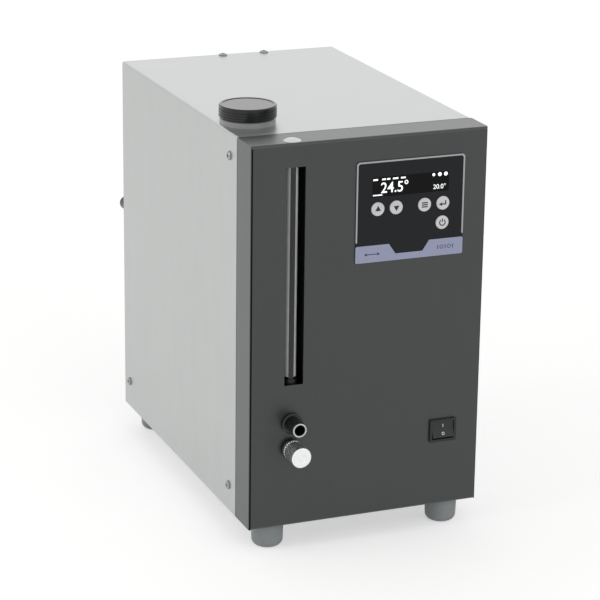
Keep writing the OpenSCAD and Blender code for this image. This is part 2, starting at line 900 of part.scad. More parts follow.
module filler_cap() {
    spigot_r = neck_bore_r - spigot_gap;
    groove_pitch = (cap_h - cap_chamfer) / (cap_groove_count + 1);
    groove_h = groove_pitch * groove_share;
    color("#1D1E1F") translate([neck_x, neck_y, cap_z]) rotate_extrude() {
        difference() {
            union() {
                polygon([[0, 0], [cap_r, 0], [cap_r, cap_h - cap_chamfer],
                         [cap_r - cap_chamfer, cap_h], [0, cap_h]]);
                translate([0, -spigot_len - gasket_h]) square([spigot_r, spigot_len + gasket_h + 1]);
            }
            for (i = [1 : cap_groove_count])
                translate([cap_r - cap_groove, i * groove_pitch - groove_h / 2])
                    square([cap_groove + 1, groove_h]);
            translate([-1, cap_h - cap_dish_depth]) square([cap_dish_r + 1, cap_dish_depth + 1]);
            translate([-1, -spigot_len - gasket_h - 1])
                square([spigot_r - spigot_wall + 1, spigot_len + gasket_h + 1]);
        }
    }
}

module cap_gasket() {
    color("#2A2B2B") translate([neck_x, neck_y, cap_z - gasket_h])
        linear_extrude(gasket_h) ring(collar_r - 1.5, neck_bore_r + 0.5);
}

// Upright block with round corners, such as the tank and its insulation
module upright(x0, x1, y0, y1, z0, z1, r) {
    translate([(x0 + x1) / 2, (y0 + y1) / 2, z0])
        linear_extrude(z1 - z0) round_rect(x1 - x0, y1 - y0, r);
}

module reservoir() {
    port_r = hose_r - hose_wall;
    w = tank_wall;
    color("#B9BCBD") difference() {
        upright(tank_x0, tank_x1, tank_y0, tank_y1, tank_z0, tank_z1, tank_round);
        upright(tank_x0 + w, tank_x1 - w, tank_y0 + w, tank_y1 - w,
                tank_z0 + w, tank_z1 - w, tank_round - w);
        translate([neck_x, neck_y, tank_z1 - w - 1]) cylinder(r = neck_bore_r, h = w + 2);
        translate([sight_x, 0, level_z]) rod_y(port_r, tank_y0 - 1, tank_y0 + w + 1);
        for (p = tank_back_ports) translate([p[0], 0, p[1]]) rod_y(port_r, tank_y1 - w - 1, tank_y1 + 1);
        translate([drain_x, drain_pipe_y, tank_z0 - 1]) cylinder(r = port_r, h = w + 2);
        translate([overflow_port[0], overflow_port[1], tank_z1 - w - 1]) cylinder(r = port_r, h = w + 2);
    }
}

module tank_insulation() {
    g = 0.2;
    hole_r = hose_r + fit_gap;
    color("#2E3032") difference() {
        upright(tank_x0 - foam_t, tank_x1 + foam_t, tank_y0 - foam_t, tank_y1 + foam_t,
                foam_z0, foam_z1, tank_round);
        upright(tank_x0 - g, tank_x1 + g, tank_y0 - g, tank_y1 + g,
                tank_z0, foam_z1 + 1, tank_round);
        translate([sight_x, 0, level_z]) rod_y(hole_r, tank_y0 - foam_t - 1, tank_y0 + 1);
        for (p = tank_back_ports) translate([p[0], 0, p[1]])
            rod_y(hole_r, tank_y1 - 1, tank_y1 + foam_t + 1);
        translate([drain_x, drain_pipe_y, foam_z0 - 1]) cylinder(r = hole_r, h = foam_t + 2);
    }
}

module tank_stand() {
    x0 = tank_x0 - foam_t;
    x1 = tank_x1 + foam_t;
    y0 = tank_y0 - foam_t;
    y1 = tank_y1 + foam_t;
    leg_y0 = bulkhead_in_y + flange_len + fit_gap;
    color("#9DA0A1") difference() {
        union() {
            box_from([x0, y0, stand_z], [x1, y1, foam_z0]);
            box_from([x0, leg_y0, floor_z], [x1, y1, foam_z0]);
        }
        box_from([x0 + sheet_t, y0 - 1, floor_z - 1], [x1 - sheet_t, y1 + 1, stand_z]);
        translate([drain_x, drain_pipe_y, stand_z - 1]) cylinder(r = hose_r + fit_gap, h = sheet_t + 2);
    }
}

// Sight glass
module level_tube() {
    color([0.85, 0.9, 0.92, 0.45]) translate([sight_x, tube_y, fitting_z1])
        linear_extrude(tube_z1 - fitting_z1) ring(tube_r, tube_r - tube_wall);
}

module level_fitting() {
    port_y1 = tank_y0;
    z0 = channel_z0 + sheet_t;
    color("#3A3C3D") translate([sight_x, 0, 0]) difference() {
        union() {
            translate([0, tube_y, z0]) cylinder(r = tube_r + 1, h = fitting_z1 - z0);
            translate([0, tube_y, z0]) cylinder(r = barb_r, h = fitting_z1 - z0 + barb_len);
            translate([0, 0, level_z]) rod_y(hose_r, tube_y, port_y1);
        }
        translate([0, tube_y, level_z]) cylinder(r = barb_r - 1.2, h = fitting_z1 - level_z + barb_len + 1);
        translate([0, 0, level_z]) rod_y(hose_r - hose_wall, tube_y, port_y1 + 1);
    }
}

module sight_channel() {
    y0 = panel_in_y + fit_gap;
    color("#17191A") difference() {
        box_from([sight_x - channel_w / 2, y0, channel_z0],
                 [sight_x + channel_w / 2, channel_y1, channel_z1]);
        box_from([sight_x - channel_w / 2 + sheet_t, y0 - 1, channel_z0 + sheet_t],
                 [sight_x + channel_w / 2 - sheet_t, channel_y1 - sheet_t, channel_z1 + 1]);
        translate([sight_x, 0, level_z])
            rod_y(hose_r + fit_gap, channel_y1 - sheet_t - 1, channel_y1 + 1);
    }
}

module sight_plug() {
    dome_r = (plug_r * plug_r + plug_h * plug_h) / (2 * plug_h);
    color("#F2F2F0") translate([sight_x, tube_y, top_z]) {
        intersection() {
            translate([0, 0, plug_h - dome_r]) sphere(r = dome_r, $fn = 96);
            cylinder(r = plug_r + 1, h = plug_h + 1);
        }
        translate([0, 0, -plug_stem_len]) cylinder(r = barb_r, h = plug_stem_len + 0.2);
    }
}

// Hose nozzle along -Y: its base ring stands on the plane y = 0, its stub goes behind it
module hose_nozzle(length, stub) {
    lead_in = 0.8;
    color("#1B1C1D") rotate([90, 0, 0]) rotate_extrude() difference() {
        union() {
            square([base_ring_r, base_ring_h - 1]);
            polygon([[0, base_ring_h - 1], [base_ring_r, base_ring_h - 1], [base_ring_r - 1, base_ring_h],
                     [nozzle_r, base_ring_h], [nozzle_r, length - lead_in],
                     [nozzle_r - lead_in / 2, length], [0, length]]);
            translate([0, -stub]) square([stub_r, stub + 1]);
        }
        translate([-1, bore_step]) square([nozzle_bore_r + 1, length]);
        translate([-1, -stub - 1]) square([nozzle_bore_r - bore_shrink + 1, stub + length]);
    }
}

// Drain
module drain_nozzle() {
    translate([drain_x, front_y, nozzle_axis_z]) hose_nozzle(nozzle_reach, sheet_t + fit_gap + stub_len);
}

module valve_body() {
    passage_r = 2;
    pocket = stub_len + 2 * passage_r + 1;
    passage_y = valve_y0 + pocket - passage_r - 0.5;
    color("#B08D57") difference() {
        translate([drain_x, 0, 0])
            box_from([-valve_w / 2, valve_y0, valve_z0], [valve_w / 2, valve_y1, valve_z1]);
        translate([drain_x, 0, nozzle_axis_z]) rod_y(stub_r + 0.1, valve_y0 - 1, valve_y0 + pocket);
        translate([drain_x, 0, knob_z]) rod_y(spindle_r + running_gap, valve_y0 - 1, valve_y1 - 4);
        translate([drain_x, passage_y, knob_z]) cylinder(r = passage_r, h = knob_drop);
        translate([drain_x, 0, drain_pipe_z])
            rod_y(hose_r - hose_wall, passage_y - passage_r / 2, valve_y1 + 1);
    }
}

module valve_collar() {
    color("#151617") translate([drain_x, front_y, knob_z]) rotate([90, 0, 0]) rotate_extrude()
        polygon([[spindle_r + running_gap, -sheet_t - fit_gap], [spindle_r + 0.9, -sheet_t - fit_gap],
                 [spindle_r + 0.9, 0], [base_ring_r, 0], [base_ring_r, base_ring_h - 1],
                 [base_ring_r - 1, base_ring_h], [spindle_r + running_gap, base_ring_h]]);
}

module drain_knob() {
    edge = 0.8;
    length = knob_y1 - knob_y0;
    color("#C9CCCD") translate([drain_x, 0, knob_z]) {
        difference() {
            translate([0, knob_y1, 0]) rotate([90, 0, 0]) {
                cylinder(r = knob_r, h = length - edge);
                translate([0, 0, length - edge]) cylinder(r1 = knob_r, r2 = knob_r - edge, h = edge);
            }
            for (i = [0 : flute_count - 1]) rotate([0, i * 360 / flute_count, 0])
                translate([knob_r + flute_sink * flute_r, 0, 0])
                    rod_y(flute_r, knob_y0 + flute_front, knob_y1 - flute_back);
        }
        rod_y(spindle_r, knob_y1 - 1, valve_y1 - 6);
    }
}

// Switch
module switch_bezel() {
    body_w = switch_w - switch_rim - 2 * fit_gap;
    body_h = switch_h - switch_rim - 2 * fit_gap;
    open_w = rocker_w + 2 * rocker_gap;
    open_h = rocker_h + 2 * rocker_gap;
    color("#141516") translate([switch_x, 0, switch_mid_z]) difference() {
        union() {
            translate([0, front_y, 0]) rotate([90, 0, 0])
                linear_extrude(switch_t) round_rect(switch_w, switch_h, 1);
            box_from([-body_w / 2, front_y - 1, -body_h / 2],
                     [body_w / 2, front_y + switch_body_d, body_h / 2]);
        }
        box_from([-open_w / 2, front_y - switch_t - 1, -open_h / 2],
                 [open_w / 2, front_y + switch_body_d - 2, open_h / 2]);
        translate([0, rocker_axis_y, 0]) rotate([0, 90, 0])
            cylinder(r = rocker_pin_r + running_gap, h = open_w + 2, center = true);
    }
}

// Rocker with its upper half pressed in: two flats that meet at a blunt angle over the pin
module switch_rocker() {
    half = rocker_h / 2;
    tilt = rocker_tilt / 2;
    pin_len = rocker_w + 2 * rocker_gap + 1.4;
    rise = half * tan(tilt);
    color("#1E2021") translate([switch_x, rocker_axis_y, switch_mid_z]) rotate([-tilt, 0, 0]) {
        rotate([90, 0, 90]) translate([0, 0, -rocker_w / 2]) linear_extrude(rocker_w)
            polygon([[-rocker_face - rise, half - rocker_edge], [-rocker_face, 0],
                     [-rocker_face - rise, rocker_edge - half], [-0.5, rocker_edge - half],
                     [rocker_back, 2 - half], [rocker_back, half - 2], [-0.5, half - rocker_edge]]);
        rotate([0, 90, 0]) cylinder(r = rocker_pin_r, h = pin_len, center = true);
    }
}

// Controller
// Places its children on the overlay, at a distance from the controller's left and upper edges
module on_controller(at) {
    translate([ctrl_x0 + at[0], 0, ctrl_z1 - at[1]]) children();
}

// Outline of the lower strip's notch, deepened by a margin
module notch_outline(margin = 0) {
    polygon([[-notch_w / 2 - margin, 1], [-notch_bottom_w / 2 - margin, -notch_depth - margin],
             [notch_bottom_w / 2 + margin, -notch_depth - margin], [notch_w / 2 + margin, 1]]);
}

module controller_foil() {
    color("#3B3C40") difference() {
        translate([ctrl_mid_x, front_y, (ctrl_z0 + ctrl_z1) / 2]) rotate([90, 0, 0])
            linear_extrude(foil_t) round_rect(ctrl_w, ctrl_h, trim_round);
        translate([ctrl_mid_x - window_w / 2, foil_y - 1, window_z1 - window_h])
            cube([window_w, foil_t + 2, window_h]);
        for (at = [key_up_at, key_down_at, key_set_at, key_enter_at, key_power_at])
            on_controller(at) rod_y(key_r + key_gap, foil_y - 1, front_y + 1);
    }
}

module controller_trim() {
    h = ctrl_z1 - trim_z0;
    color("#C4C6C9") translate([ctrl_mid_x, foil_y, ctrl_z1]) rotate([90, 0, 0]) linear_extrude(trim_t)
        difference() {
            translate([0, -h]) intersection() {
                round_rect(ctrl_w, 2 * h, trim_round);
                translate([-ctrl_w / 2, 0]) square([ctrl_w, h]);
            }
            translate([0, -h]) round_rect(ctrl_w - 2 * trim_w, 2 * (h - trim_w), trim_round - trim_w / 2);
        }
}

module interface_strip() {
    color("#A9AECA") translate([0, foil_y, 0]) rotate([90, 0, 0]) linear_extrude(trim_t) difference() {
        translate([ctrl_mid_x, ctrl_z0 + strip_h / 2]) round_rect(ctrl_w, strip_h, trim_round / 2);
        translate([notch_mid_x, strip_z1]) notch_outline();
    }
}

module display_window() {
    w = window_w - 2 * window_gap;
    color([0.02, 0.02, 0.03, 0.9])
        translate([ctrl_mid_x - w / 2, front_y - window_t, window_z1 - window_h + window_gap])
            cube([w, window_t, window_h - 2 * window_gap]);
}

module controller_housing() {
    x0 = ctrl_x0 + cutout_margin - cutout_inset;
    x1 = ctrl_x1 - cutout_margin + cutout_inset;
    z0 = trim_z0 - cutout_inset;
    z1 = ctrl_z1 - cutout_margin + cutout_inset;
    y0 = panel_in_y + fit_gap;
    y1 = y0 + housing_d;
    board_inset = cutout_inset + fit_gap;
    post_inset = board_inset + 5;
    color("#26282A") {
        difference() {
            box_from([x0, y0, z0], [x1, y1, z1]);
            box_from([x0 + housing_wall, y0 - 1, z0 + housing_wall],
                     [x1 - housing_wall, y1 - housing_wall, z1 - housing_wall]);
        }
        box_from([x0 + board_inset, board_y, z0 + board_inset],
                 [x1 - board_inset, board_y + board_t, z1 - board_inset]);
        for (x = [x0 + post_inset, x1 - post_inset], z = [z0 + post_inset, z1 - post_inset])
            translate([x, 0, z]) rod_y(post_r, board_y + board_t / 2, y1 - housing_wall / 2);
    }
}

// Key: a disc on a short stem that reaches the board behind the overlay
module key(at) {
    y0 = foil_y - key_proud;
    color("#DCDDDF") on_controller(at) {
        translate([0, front_y - key_base, 0]) rotate([90, 0, 0]) {
            h = foil_t + key_proud - key_base;
            cylinder(r = key_r, h = h - key_edge);
            translate([0, 0, h - key_edge]) cylinder(r1 = key_r, r2 = key_r - key_edge, h = key_edge);
        }
        rod_y(stem_r, y0 + key_proud / 2, front_y + stem_len);
    }
}

module key_up() {
    key(key_up_at);
}

module key_down() {
    key(key_down_at);
}

module key_set() {
    key(key_set_at);
}

module key_enter() {
    key(key_enter_at);
}

module key_power() {
    key(key_power_at);
}

// Cooling circuit
module compressor() {
    color("#1A1B1C") translate([comp_x, comp_y, 0]) {
        translate([0, 0, comp_z0]) rotate_extrude() {
            translate([0, comp_round]) square([comp_r, comp_h - 2 * comp_round]);
            square([comp_r - comp_round, comp_h]);
            for (z = [comp_round, comp_h - comp_round]) translate([comp_r - comp_round, z]) intersection() {
                circle(comp_round);
                translate([0, -comp_round]) square([comp_round, 2 * comp_round]);
            }
        }
        translate([0, 0, comp_z0 + comp_h * seam_at]) cylinder(r = comp_r + seam_t, h = seam_h);
        translate([0, -comp_r - terminal_d, comp_z0 + comp_h * terminal_at]) along_y()
            linear_extrude(comp_r) round_rect(terminal_w, terminal_h, terminal_round);
        difference() {
            for (a = comp_foot_angles) rotate([0, 0, a]) {
                box_from([0, -comp_foot_r, comp_z0], [grommet_orbit, comp_foot_r, comp_z0 + comp_foot_t]);
                translate([grommet_orbit, 0, comp_z0]) cylinder(r = comp_foot_r, h = comp_foot_t);
            }
            for (a = comp_foot_angles) rotate([0, 0, a]) translate([grommet_orbit, 0, comp_z0 - 1])
                cylinder(r = comp_foot_hole_r, h = comp_foot_t + 1);
        }
    }
}

module compressor_grommets() {
    color("#2B2C2C") translate([comp_x, comp_y, floor_z]) for (a = comp_foot_angles)
        rotate([0, 0, a]) translate([grommet_orbit, 0, 0]) {
            cylinder(r = grommet_r, h = grommet_h);
            cylinder(r = comp_foot_hole_r - fit_gap, h = grommet_h + comp_foot_t - 1);
        }
}

// Half ring of tube from z = 0 to z = d, bulging towards +X
module return_bend(d) {
    translate([0, 0, d / 2]) rotate([90, 90, 0]) rotate_extrude(angle = 180)
        translate([d / 2, 0]) circle(copper_r);
}

// Bends that join the rows of the condenser's coil at its two ends
module return_bends() {
    for (i = [0 : 2 : cond_rows - 2])
        translate([coil_x0 - coil_stub, discharge_y, coil_z(i)]) mirror([1, 0, 0]) return_bend(row_pitch);
    for (i = [1 : 2 : cond_rows - 3])
        translate([coil_x1 + coil_stub, discharge_y, coil_z(i)]) return_bend(row_pitch);
}

module condenser() {
    step = (coil_x1 - coil_x0 - 2 * cond_end_t) / (fin_count + 1);
    color("#A9ABAC") {
        for (x = [coil_x0, coil_x1 - cond_end_t])
            box_from([x, cond_y0, floor_z], [x + cond_end_t, cond_y1, cond_z1]);
        for (i = [1 : fin_count]) {
            x = coil_x0 + cond_end_t + i * step - fin_t / 2;
            box_from([x, cond_y0 + 1, floor_z + 1], [x + fin_t, cond_y1 - 1, cond_z1 - 1]);
        }
        for (i = [0 : cond_rows - 1])
            translate([coil_x0 - coil_stub, discharge_y, coil_z(i)]) rotate([0, 90, 0])
                cylinder(r = copper_r, h = coil_x1 - coil_x0 + 2 * coil_stub);
    }
}

module fan_housing() {
    boss_r = 5;
    color("#1E2021") translate([fan_x, 0, fan_z]) difference() {
        union() {
            difference() {
                translate([0, fan_y0, 0]) along_y() linear_extrude(fan_d) round_rect(fan_w, fan_w, 6);
                rod_y(duct_r, fan_y0 - 1, fan_y1 + 1);
            }
            for (a = [45, 135]) rotate([0, a, 0])
                box_from([-duct_r - 1, fan_y0, -strut_w / 2], [duct_r + 1, fan_y0 + fan_wall, strut_w / 2]);
            rod_y(hub_r, fan_y0, fan_y0 + fan_wall + 6);
        }
        rod_y(shaft_r + running_gap, fan_y0 + 2, fan_y1);
        for (sx = [-1, 1], sz = [-1, 1]) translate([sx * fan_screw_at, 0, sz * fan_screw_at])
            rod_y(screw_r + fit_gap, fan_y1 - screw_len - 1, fan_y1 + 1);
    }
}

module fan_rotor() {
    hub_y0 = fan_y0 + fan_wall + 6 + hub_gap;
    hub_y1 = fan_y1 - 3;
    blade_t = 1.6;
    camber_r = 34;
    mid_y = (hub_y0 + hub_y1) / 2;
    blade_chord = (hub_y1 - hub_y0 - 3) / sin(90 - blade_pitch);
    color("#2A2C2D") translate([fan_x, 0, fan_z]) {
        rod_y(hub_r, hub_y0, hub_y1);
        rod_y(shaft_r, fan_y0 + 3, hub_y0 + 1);
        intersection() {
            rod_y(rotor_r, hub_y0, hub_y1);
            for (i = [0 : blade_count - 1]) rotate([0, i * 360 / blade_count, 0])
                translate([hub_r - 2, mid_y, 0]) rotate([blade_pitch, 0, 0]) intersection() {
                    translate([0, 0, -camber_r]) rotate([0, 90, 0])
                        linear_extrude(rotor_r) ring(camber_r + blade_t / 2, camber_r - blade_t / 2);
                    box_from([0, -blade_chord, -blade_chord / 2], [rotor_r, blade_chord, blade_t]);
                }
        }
    }
}

module evaporator() {
    step = evap_d / evap_plates;
    cut_depth = 1.5;
    plate_rim = 2;
    color("#B7BABB") difference() {
        box_from([evap_x0, evap_y0, floor_z], [evap_x1, evap_y1, evap_z1]);
        for (i = [1 : evap_plates - 1]) {
            y = evap_y0 + i * step;
            for (x = [evap_x0, evap_x1])
                box_from([x - cut_depth, y - plate_cut / 2, floor_z + plate_rim],
                         [x + cut_depth, y + plate_cut / 2, evap_z1 - plate_rim]);
        }
    }
}

module filter_dryer() {
    cone = 3;
    y0 = evap_y1 + cone;
    y1 = discharge_y - pipe_bend - cone;
    color("#B87333") {
        pipe([
            [coil_x1 + coil_stub, discharge_y, coil_z(0)],
            [line_x, discharge_y, coil_z(0)],
            [line_x, evap_y1, coil_z(0)]
        ], copper_r, copper_wall);
        translate([line_x, y0, coil_z(0)]) along_y() difference() {
            union() {
                cylinder(r1 = copper_r, r2 = dryer_r, h = cone);
                translate([0, 0, cone]) cylinder(r = dryer_r, h = y1 - y0 - 2 * cone);
                translate([0, 0, y1 - y0 - cone]) cylinder(r1 = dryer_r, r2 = copper_r, h = cone);
            }
            translate([0, 0, -1]) cylinder(r = copper_r - copper_wall, h = y1 - y0 + 2);
        }
    }
}

module discharge_pipe() {
    color("#B87333") pipe([
        [discharge_x, comp_y, comp_z1],
        [discharge_x, comp_y, discharge_z],
        [discharge_x, discharge_y, discharge_z],
        [line_x, discharge_y, discharge_z],
        [line_x, discharge_y, coil_z(cond_rows - 1)],
        [coil_x1 + coil_stub, discharge_y, coil_z(cond_rows - 1)]
    ], copper_r, copper_wall);
    color("#B87333") return_bends();
}

module suction_pipe() {
    color("#B87333") pipe([
        [suction_x, evap_y0, suction_z],
        [suction_x, suction_y, suction_z],
        [suction_x, suction_y, comp_z1]
    ], copper_r, copper_wall, pipe_bend / 1.5);
}

// Water circuit
module pump() {
    color("#3A3C3E") translate([pump_x, 0, pump_z]) {
        rod_y(pump_head_r, pump_y0, pump_y0 + pump_head_len);
        difference() {
            rod_y(motor_r, pump_y0 + pump_head_len, pump_y1);
            for (i = [1 : motor_grooves]) rotate([0, -180 * i / (motor_grooves + 1), 0])
                box_from([motor_r - groove_depth, pump_y0 + pump_head_len + groove_end, -groove_w / 2],
                         [motor_r + 1, pump_y1 - groove_end, groove_w / 2]);
        }
        rod_y(hose_r + 1, pump_y0 - pump_port_len, pump_y0 + 1);
        rod_y(hose_r - hose_wall, pump_y0 - pump_port_len - port_tail, pump_y0);
        translate([0, pump_outlet_y, 0]) {
            cylinder(r = hose_r + 1, h = pump_head_r + pump_port_len);
            cylinder(r = hose_r - hose_wall, h = pump_head_r + pump_port_len + port_tail);
        }
        box_from([-pump_foot_w / 2, pump_y0 + pump_head_len + 4, floor_z - pump_z],
                 [pump_foot_w / 2, pump_y1 - 4, 0]);
    }
}

module pump_hose() {
    color("#4A4C4E") pipe([
        [pump_x, pump_y0 - pump_port_len, pump_z],
        [pump_x, pump_hose_y, pump_z],
        [pump_x, pump_hose_y, pump_hose_z],
        [pump_x, tank_y1, pump_hose_z]
    ], hose_r, hose_wall);
}

module supply_hose() {
    color("#4A4C4E") pipe([
        [pump_x, pump_outlet_y, pump_z + pump_head_r + pump_port_len],
        [pump_x, pump_outlet_y, supply_hose_z],
        [evap_port_x, pump_outlet_y, supply_hose_z],
        [evap_port_x, evap_y0, supply_hose_z]
    ], hose_r, hose_wall);
}

module outlet_hose() {
    color("#4A4C4E") pipe([
        [evap_x0, outlet_hose_y, supply_axis_z],
        [fitting_x, outlet_hose_y, supply_axis_z],
        [fitting_x, rear_in_y - fitting_tail, supply_axis_z]
    ], hose_r, hose_wall);
}

module return_hose() {
    color("#4A4C4E") translate([fitting_x, tank_y1, return_axis_z]) along_y()
        linear_extrude(rear_in_y - fitting_tail - tank_y1) ring(hose_r, hose_r - hose_wall);
}

module overflow_hose() {
    color("#4A4C4E") pipe([
        [overflow_nozzle_x, rear_in_y - stub_len, overflow_axis_z],
        [overflow_nozzle_x, pump_hose_y, overflow_axis_z],
        [overflow_nozzle_x, pump_hose_y, overflow_top_z],
        [overflow_nozzle_x, overflow_port[1], overflow_top_z],
        [overflow_port[0], overflow_port[1], overflow_top_z],
        [overflow_port[0], overflow_port[1], tank_z1]
    ], hose_r, hose_wall);
}

module drain_pipe() {
    color("#4A4C4E") pipe([
        [drain_x, valve_y1, drain_pipe_z],
        [drain_x, drain_pipe_y, drain_pipe_z],
        [drain_x, drain_pipe_y, tank_z0]
    ], hose_r, hose_wall);
}

// Band clamp round a hose that runs along +Z, its screw on the +Y side
module hose_clamp() {
    difference() {
        union() {
            cylinder(r = hose_r + clamp_t, h = clamp_w);
            translate([-clamp_screw[0] / 2, 0, 0])
                cube([clamp_screw[0], hose_r + clamp_screw[1], clamp_w]);
        }
        translate([0, 0, -1]) cylinder(r = hose_r, h = clamp_w + 2);
    }
}

module hose_clamps() {
    margin = 1.5;
    color("#C9CBCC") {
        translate([pump_x, pump_y0 - pump_port_len - clamp_w - margin / 2, pump_z]) along_y() hose_clamp();
        translate([pump_x, pump_outlet_y, pump_z + pump_head_r + pump_port_len + margin]) hose_clamp();
        translate([evap_x0 - margin - clamp_w, outlet_hose_y, supply_axis_z]) rotate([0, 90, 0]) hose_clamp();
        for (z = [supply_axis_z, return_axis_z])
            translate([fitting_x, rear_in_y - fitting_tail - margin - clamp_w, z]) along_y() hose_clamp();
        translate([fitting_x, tank_y1 + foam_t + margin, return_axis_z]) along_y() hose_clamp();
    }
}

// Threaded pump fitting along +Y: hexagon outside the rear panel, tail inside it
module pump_fitting() {
    chamfer = 1;
    neck_len = 2.5;
    color("#B9BCBD") rotate([-90, 0, 0]) difference() {
        union() {
            cylinder(r = hex_r, h = hex_h, $fn = 6);
            translate([0, 0, -sheet_t - fitting_tail]) cylinder(r = thread_r, h = sheet_t + fitting_tail + 1);
            translate([0, 0, -sheet_t - lock_nut_h]) cylinder(r = hex_r, h = lock_nut_h, $fn = 6);
            translate([0, 0, -sheet_t - fitting_tail - tail_len])
                cylinder(r = hose_r - hose_wall, h = tail_len + 1);
            cylinder(r = thread_r - 0.8, h = hex_h + neck_len + 1);
            translate([0, 0, hex_h + neck_len])
                cylinder(r = thread_r, h = fitting_reach - hex_h - neck_len - chamfer);
            translate([0, 0, fitting_reach - chamfer])
                cylinder(r1 = thread_r, r2 = thread_r - chamfer, h = chamfer);
        }
        translate([0, 0, bore_step]) cylinder(r = fitting_bore_r, h = fitting_reach);
        translate([0, 0, -sheet_t - fitting_tail - tail_len - 1])
            cylinder(r = tail_bore_r, h = sheet_t + fitting_tail + tail_len + fitting_reach);
    }
}

module pump_outlet() {
    translate([fitting_x, rear_out_y, supply_axis_z]) pump_fitting();
}

module pump_inlet() {
    translate([fitting_x, rear_out_y, return_axis_z]) pump_fitting();
}

module overflow_nozzle() {
    translate([overflow_nozzle_x, rear_out_y, overflow_axis_z]) mirror([0, 1, 0])
        hose_nozzle(rear_inset + reach, sheet_t + stub_len);
}

// Outline of the mains socket: a rectangle with its two upper corners cut off
module socket_outline() {
    x = socket_w / 2;
    z = socket_h / 2;
    polygon([[-x, -z], [x, -z], [x, z - socket_corner], [x - socket_corner, z],
             [socket_corner - x, z], [-x, z - socket_corner]]);
}

module mains_inlet() {
    color("#161718") translate([inlet_x, rear_out_y, inlet_z]) difference() {
        union() {
            along_y() linear_extrude(inlet_flange_t) round_rect(inlet_flange_w, inlet_h + 1, 5);
            box_from([-inlet_w / 2, -inlet_body_d, -inlet_h / 2], [inlet_w / 2, 1, inlet_h / 2]);
        }
        translate([0, inlet_flange_t + 1, 0]) rotate([90, 0, 0])
            linear_extrude(socket_depth + inlet_flange_t + 1) socket_outline();
        for (s = [-1, 1]) translate([s * inlet_screw_at, 0, 0])
            rod_y(screw_r + fit_gap, -1, inlet_flange_t + 1);
    }
}

module mains_pins() {
    places = [[-pin_pitch, -2], [0, 2], [pin_pitch, -2]];
    color("#D0D2D3") for (p = places)
        translate([inlet_x + p[0], rear_out_y - socket_depth, inlet_z + p[1]])
            translate([-pin_size[0] / 2, 0, -pin_size[2] / 2]) cube(pin_size);
}

hood();
front_panel();
front_bulkhead();
rear_panel();
base_plate();
foot_front_left();
foot_front_right();
foot_rear_left();
foot_rear_right();
foot_screws();
hood_screws();
rear_screws();
filler_neck();
filler_cap();
cap_gasket();
reservoir();
tank_insulation();
tank_stand();
level_tube();
level_fitting();
sight_channel();
sight_plug();
drain_nozzle();
valve_body();
valve_collar();
drain_knob();
switch_bezel();
switch_rocker();
controller_foil();
controller_trim();
interface_strip();
display_window();
controller_housing();
key_up();
key_down();
key_set();
key_enter();
key_power();
compressor();
compressor_grommets();
condenser();
fan_housing();
fan_rotor();
evaporator();
filter_dryer();
discharge_pipe();
suction_pipe();
pump();
pump_hose();
supply_hose();
outlet_hose();
return_hose();
overflow_hose();
drain_pipe();
hose_clamps();
pump_outlet();
pump_inlet();
overflow_nozzle();
mains_inlet();
mains_pins();
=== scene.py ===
"""Looks of a bench-top recirculating chiller: its finishes, printed marks, threads and studio."""

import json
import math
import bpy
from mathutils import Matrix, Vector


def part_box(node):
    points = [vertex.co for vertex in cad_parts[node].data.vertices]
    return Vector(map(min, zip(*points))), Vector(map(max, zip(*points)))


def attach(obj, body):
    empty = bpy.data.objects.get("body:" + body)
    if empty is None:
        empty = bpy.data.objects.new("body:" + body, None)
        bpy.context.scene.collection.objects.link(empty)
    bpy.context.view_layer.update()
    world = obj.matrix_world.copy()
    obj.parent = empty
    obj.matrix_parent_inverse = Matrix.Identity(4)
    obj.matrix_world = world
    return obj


bl_info = {
    "name": "Recirculating Chiller",
    "version": (1, 0, 0),
    "blender": (4, 5, 0),
    "location": "View3D > Sidebar > Chiller",
    "description": "Dresses the chiller's parts and sets up its studio",
    "category": "Object",
}

import bmesh
import bpy
from bpy.props import FloatProperty, FloatVectorProperty, PointerProperty, StringProperty
from bpy.types import Operator, Panel, PropertyGroup
from mathutils import Matrix, Vector

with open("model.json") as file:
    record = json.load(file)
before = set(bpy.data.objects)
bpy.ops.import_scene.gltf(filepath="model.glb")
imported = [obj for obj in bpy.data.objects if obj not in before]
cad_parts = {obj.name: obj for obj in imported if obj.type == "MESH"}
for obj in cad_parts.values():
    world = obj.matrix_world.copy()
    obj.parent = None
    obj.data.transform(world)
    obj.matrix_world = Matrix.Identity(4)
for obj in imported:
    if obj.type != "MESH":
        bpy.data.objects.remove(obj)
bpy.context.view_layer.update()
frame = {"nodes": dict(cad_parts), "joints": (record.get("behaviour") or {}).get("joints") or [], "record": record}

MM = 0.001
FULL_TURN = 2 * math.pi


def linear(hex_colour):
    """Linear RGBA of an sRGB hex colour."""
    shares = [int(hex_colour[i:i + 2], 16) / 255 for i in (1, 3, 5)]
    return [c / 12.92 if c <= 0.04045 else ((c + 0.055) / 1.055) ** 2.4 for c in shares] + [1.0]


def colour(name, description, hex_colour):
    """Colour property with an sRGB hex default."""
    return FloatVectorProperty(name=name, description=description, subtype="COLOR", size=4,
                               min=0, max=1, default=linear(hex_colour))


def length(name, description, millimetres):
    """Length property with its default in millimetres."""
    return FloatProperty(name=name, description=description, default=millimetres * MM,
                         min=0, unit="LENGTH", precision=5)


def angle(name, description, degrees):
    """Angle property with its default in degrees."""
    return FloatProperty(name=name, description=description, default=math.radians(degrees), subtype="ANGLE")


def light_level(name, description, default):
    """Strength property of a lamp or of the sky."""
    return FloatProperty(name=name, description=description, default=default, min=0)


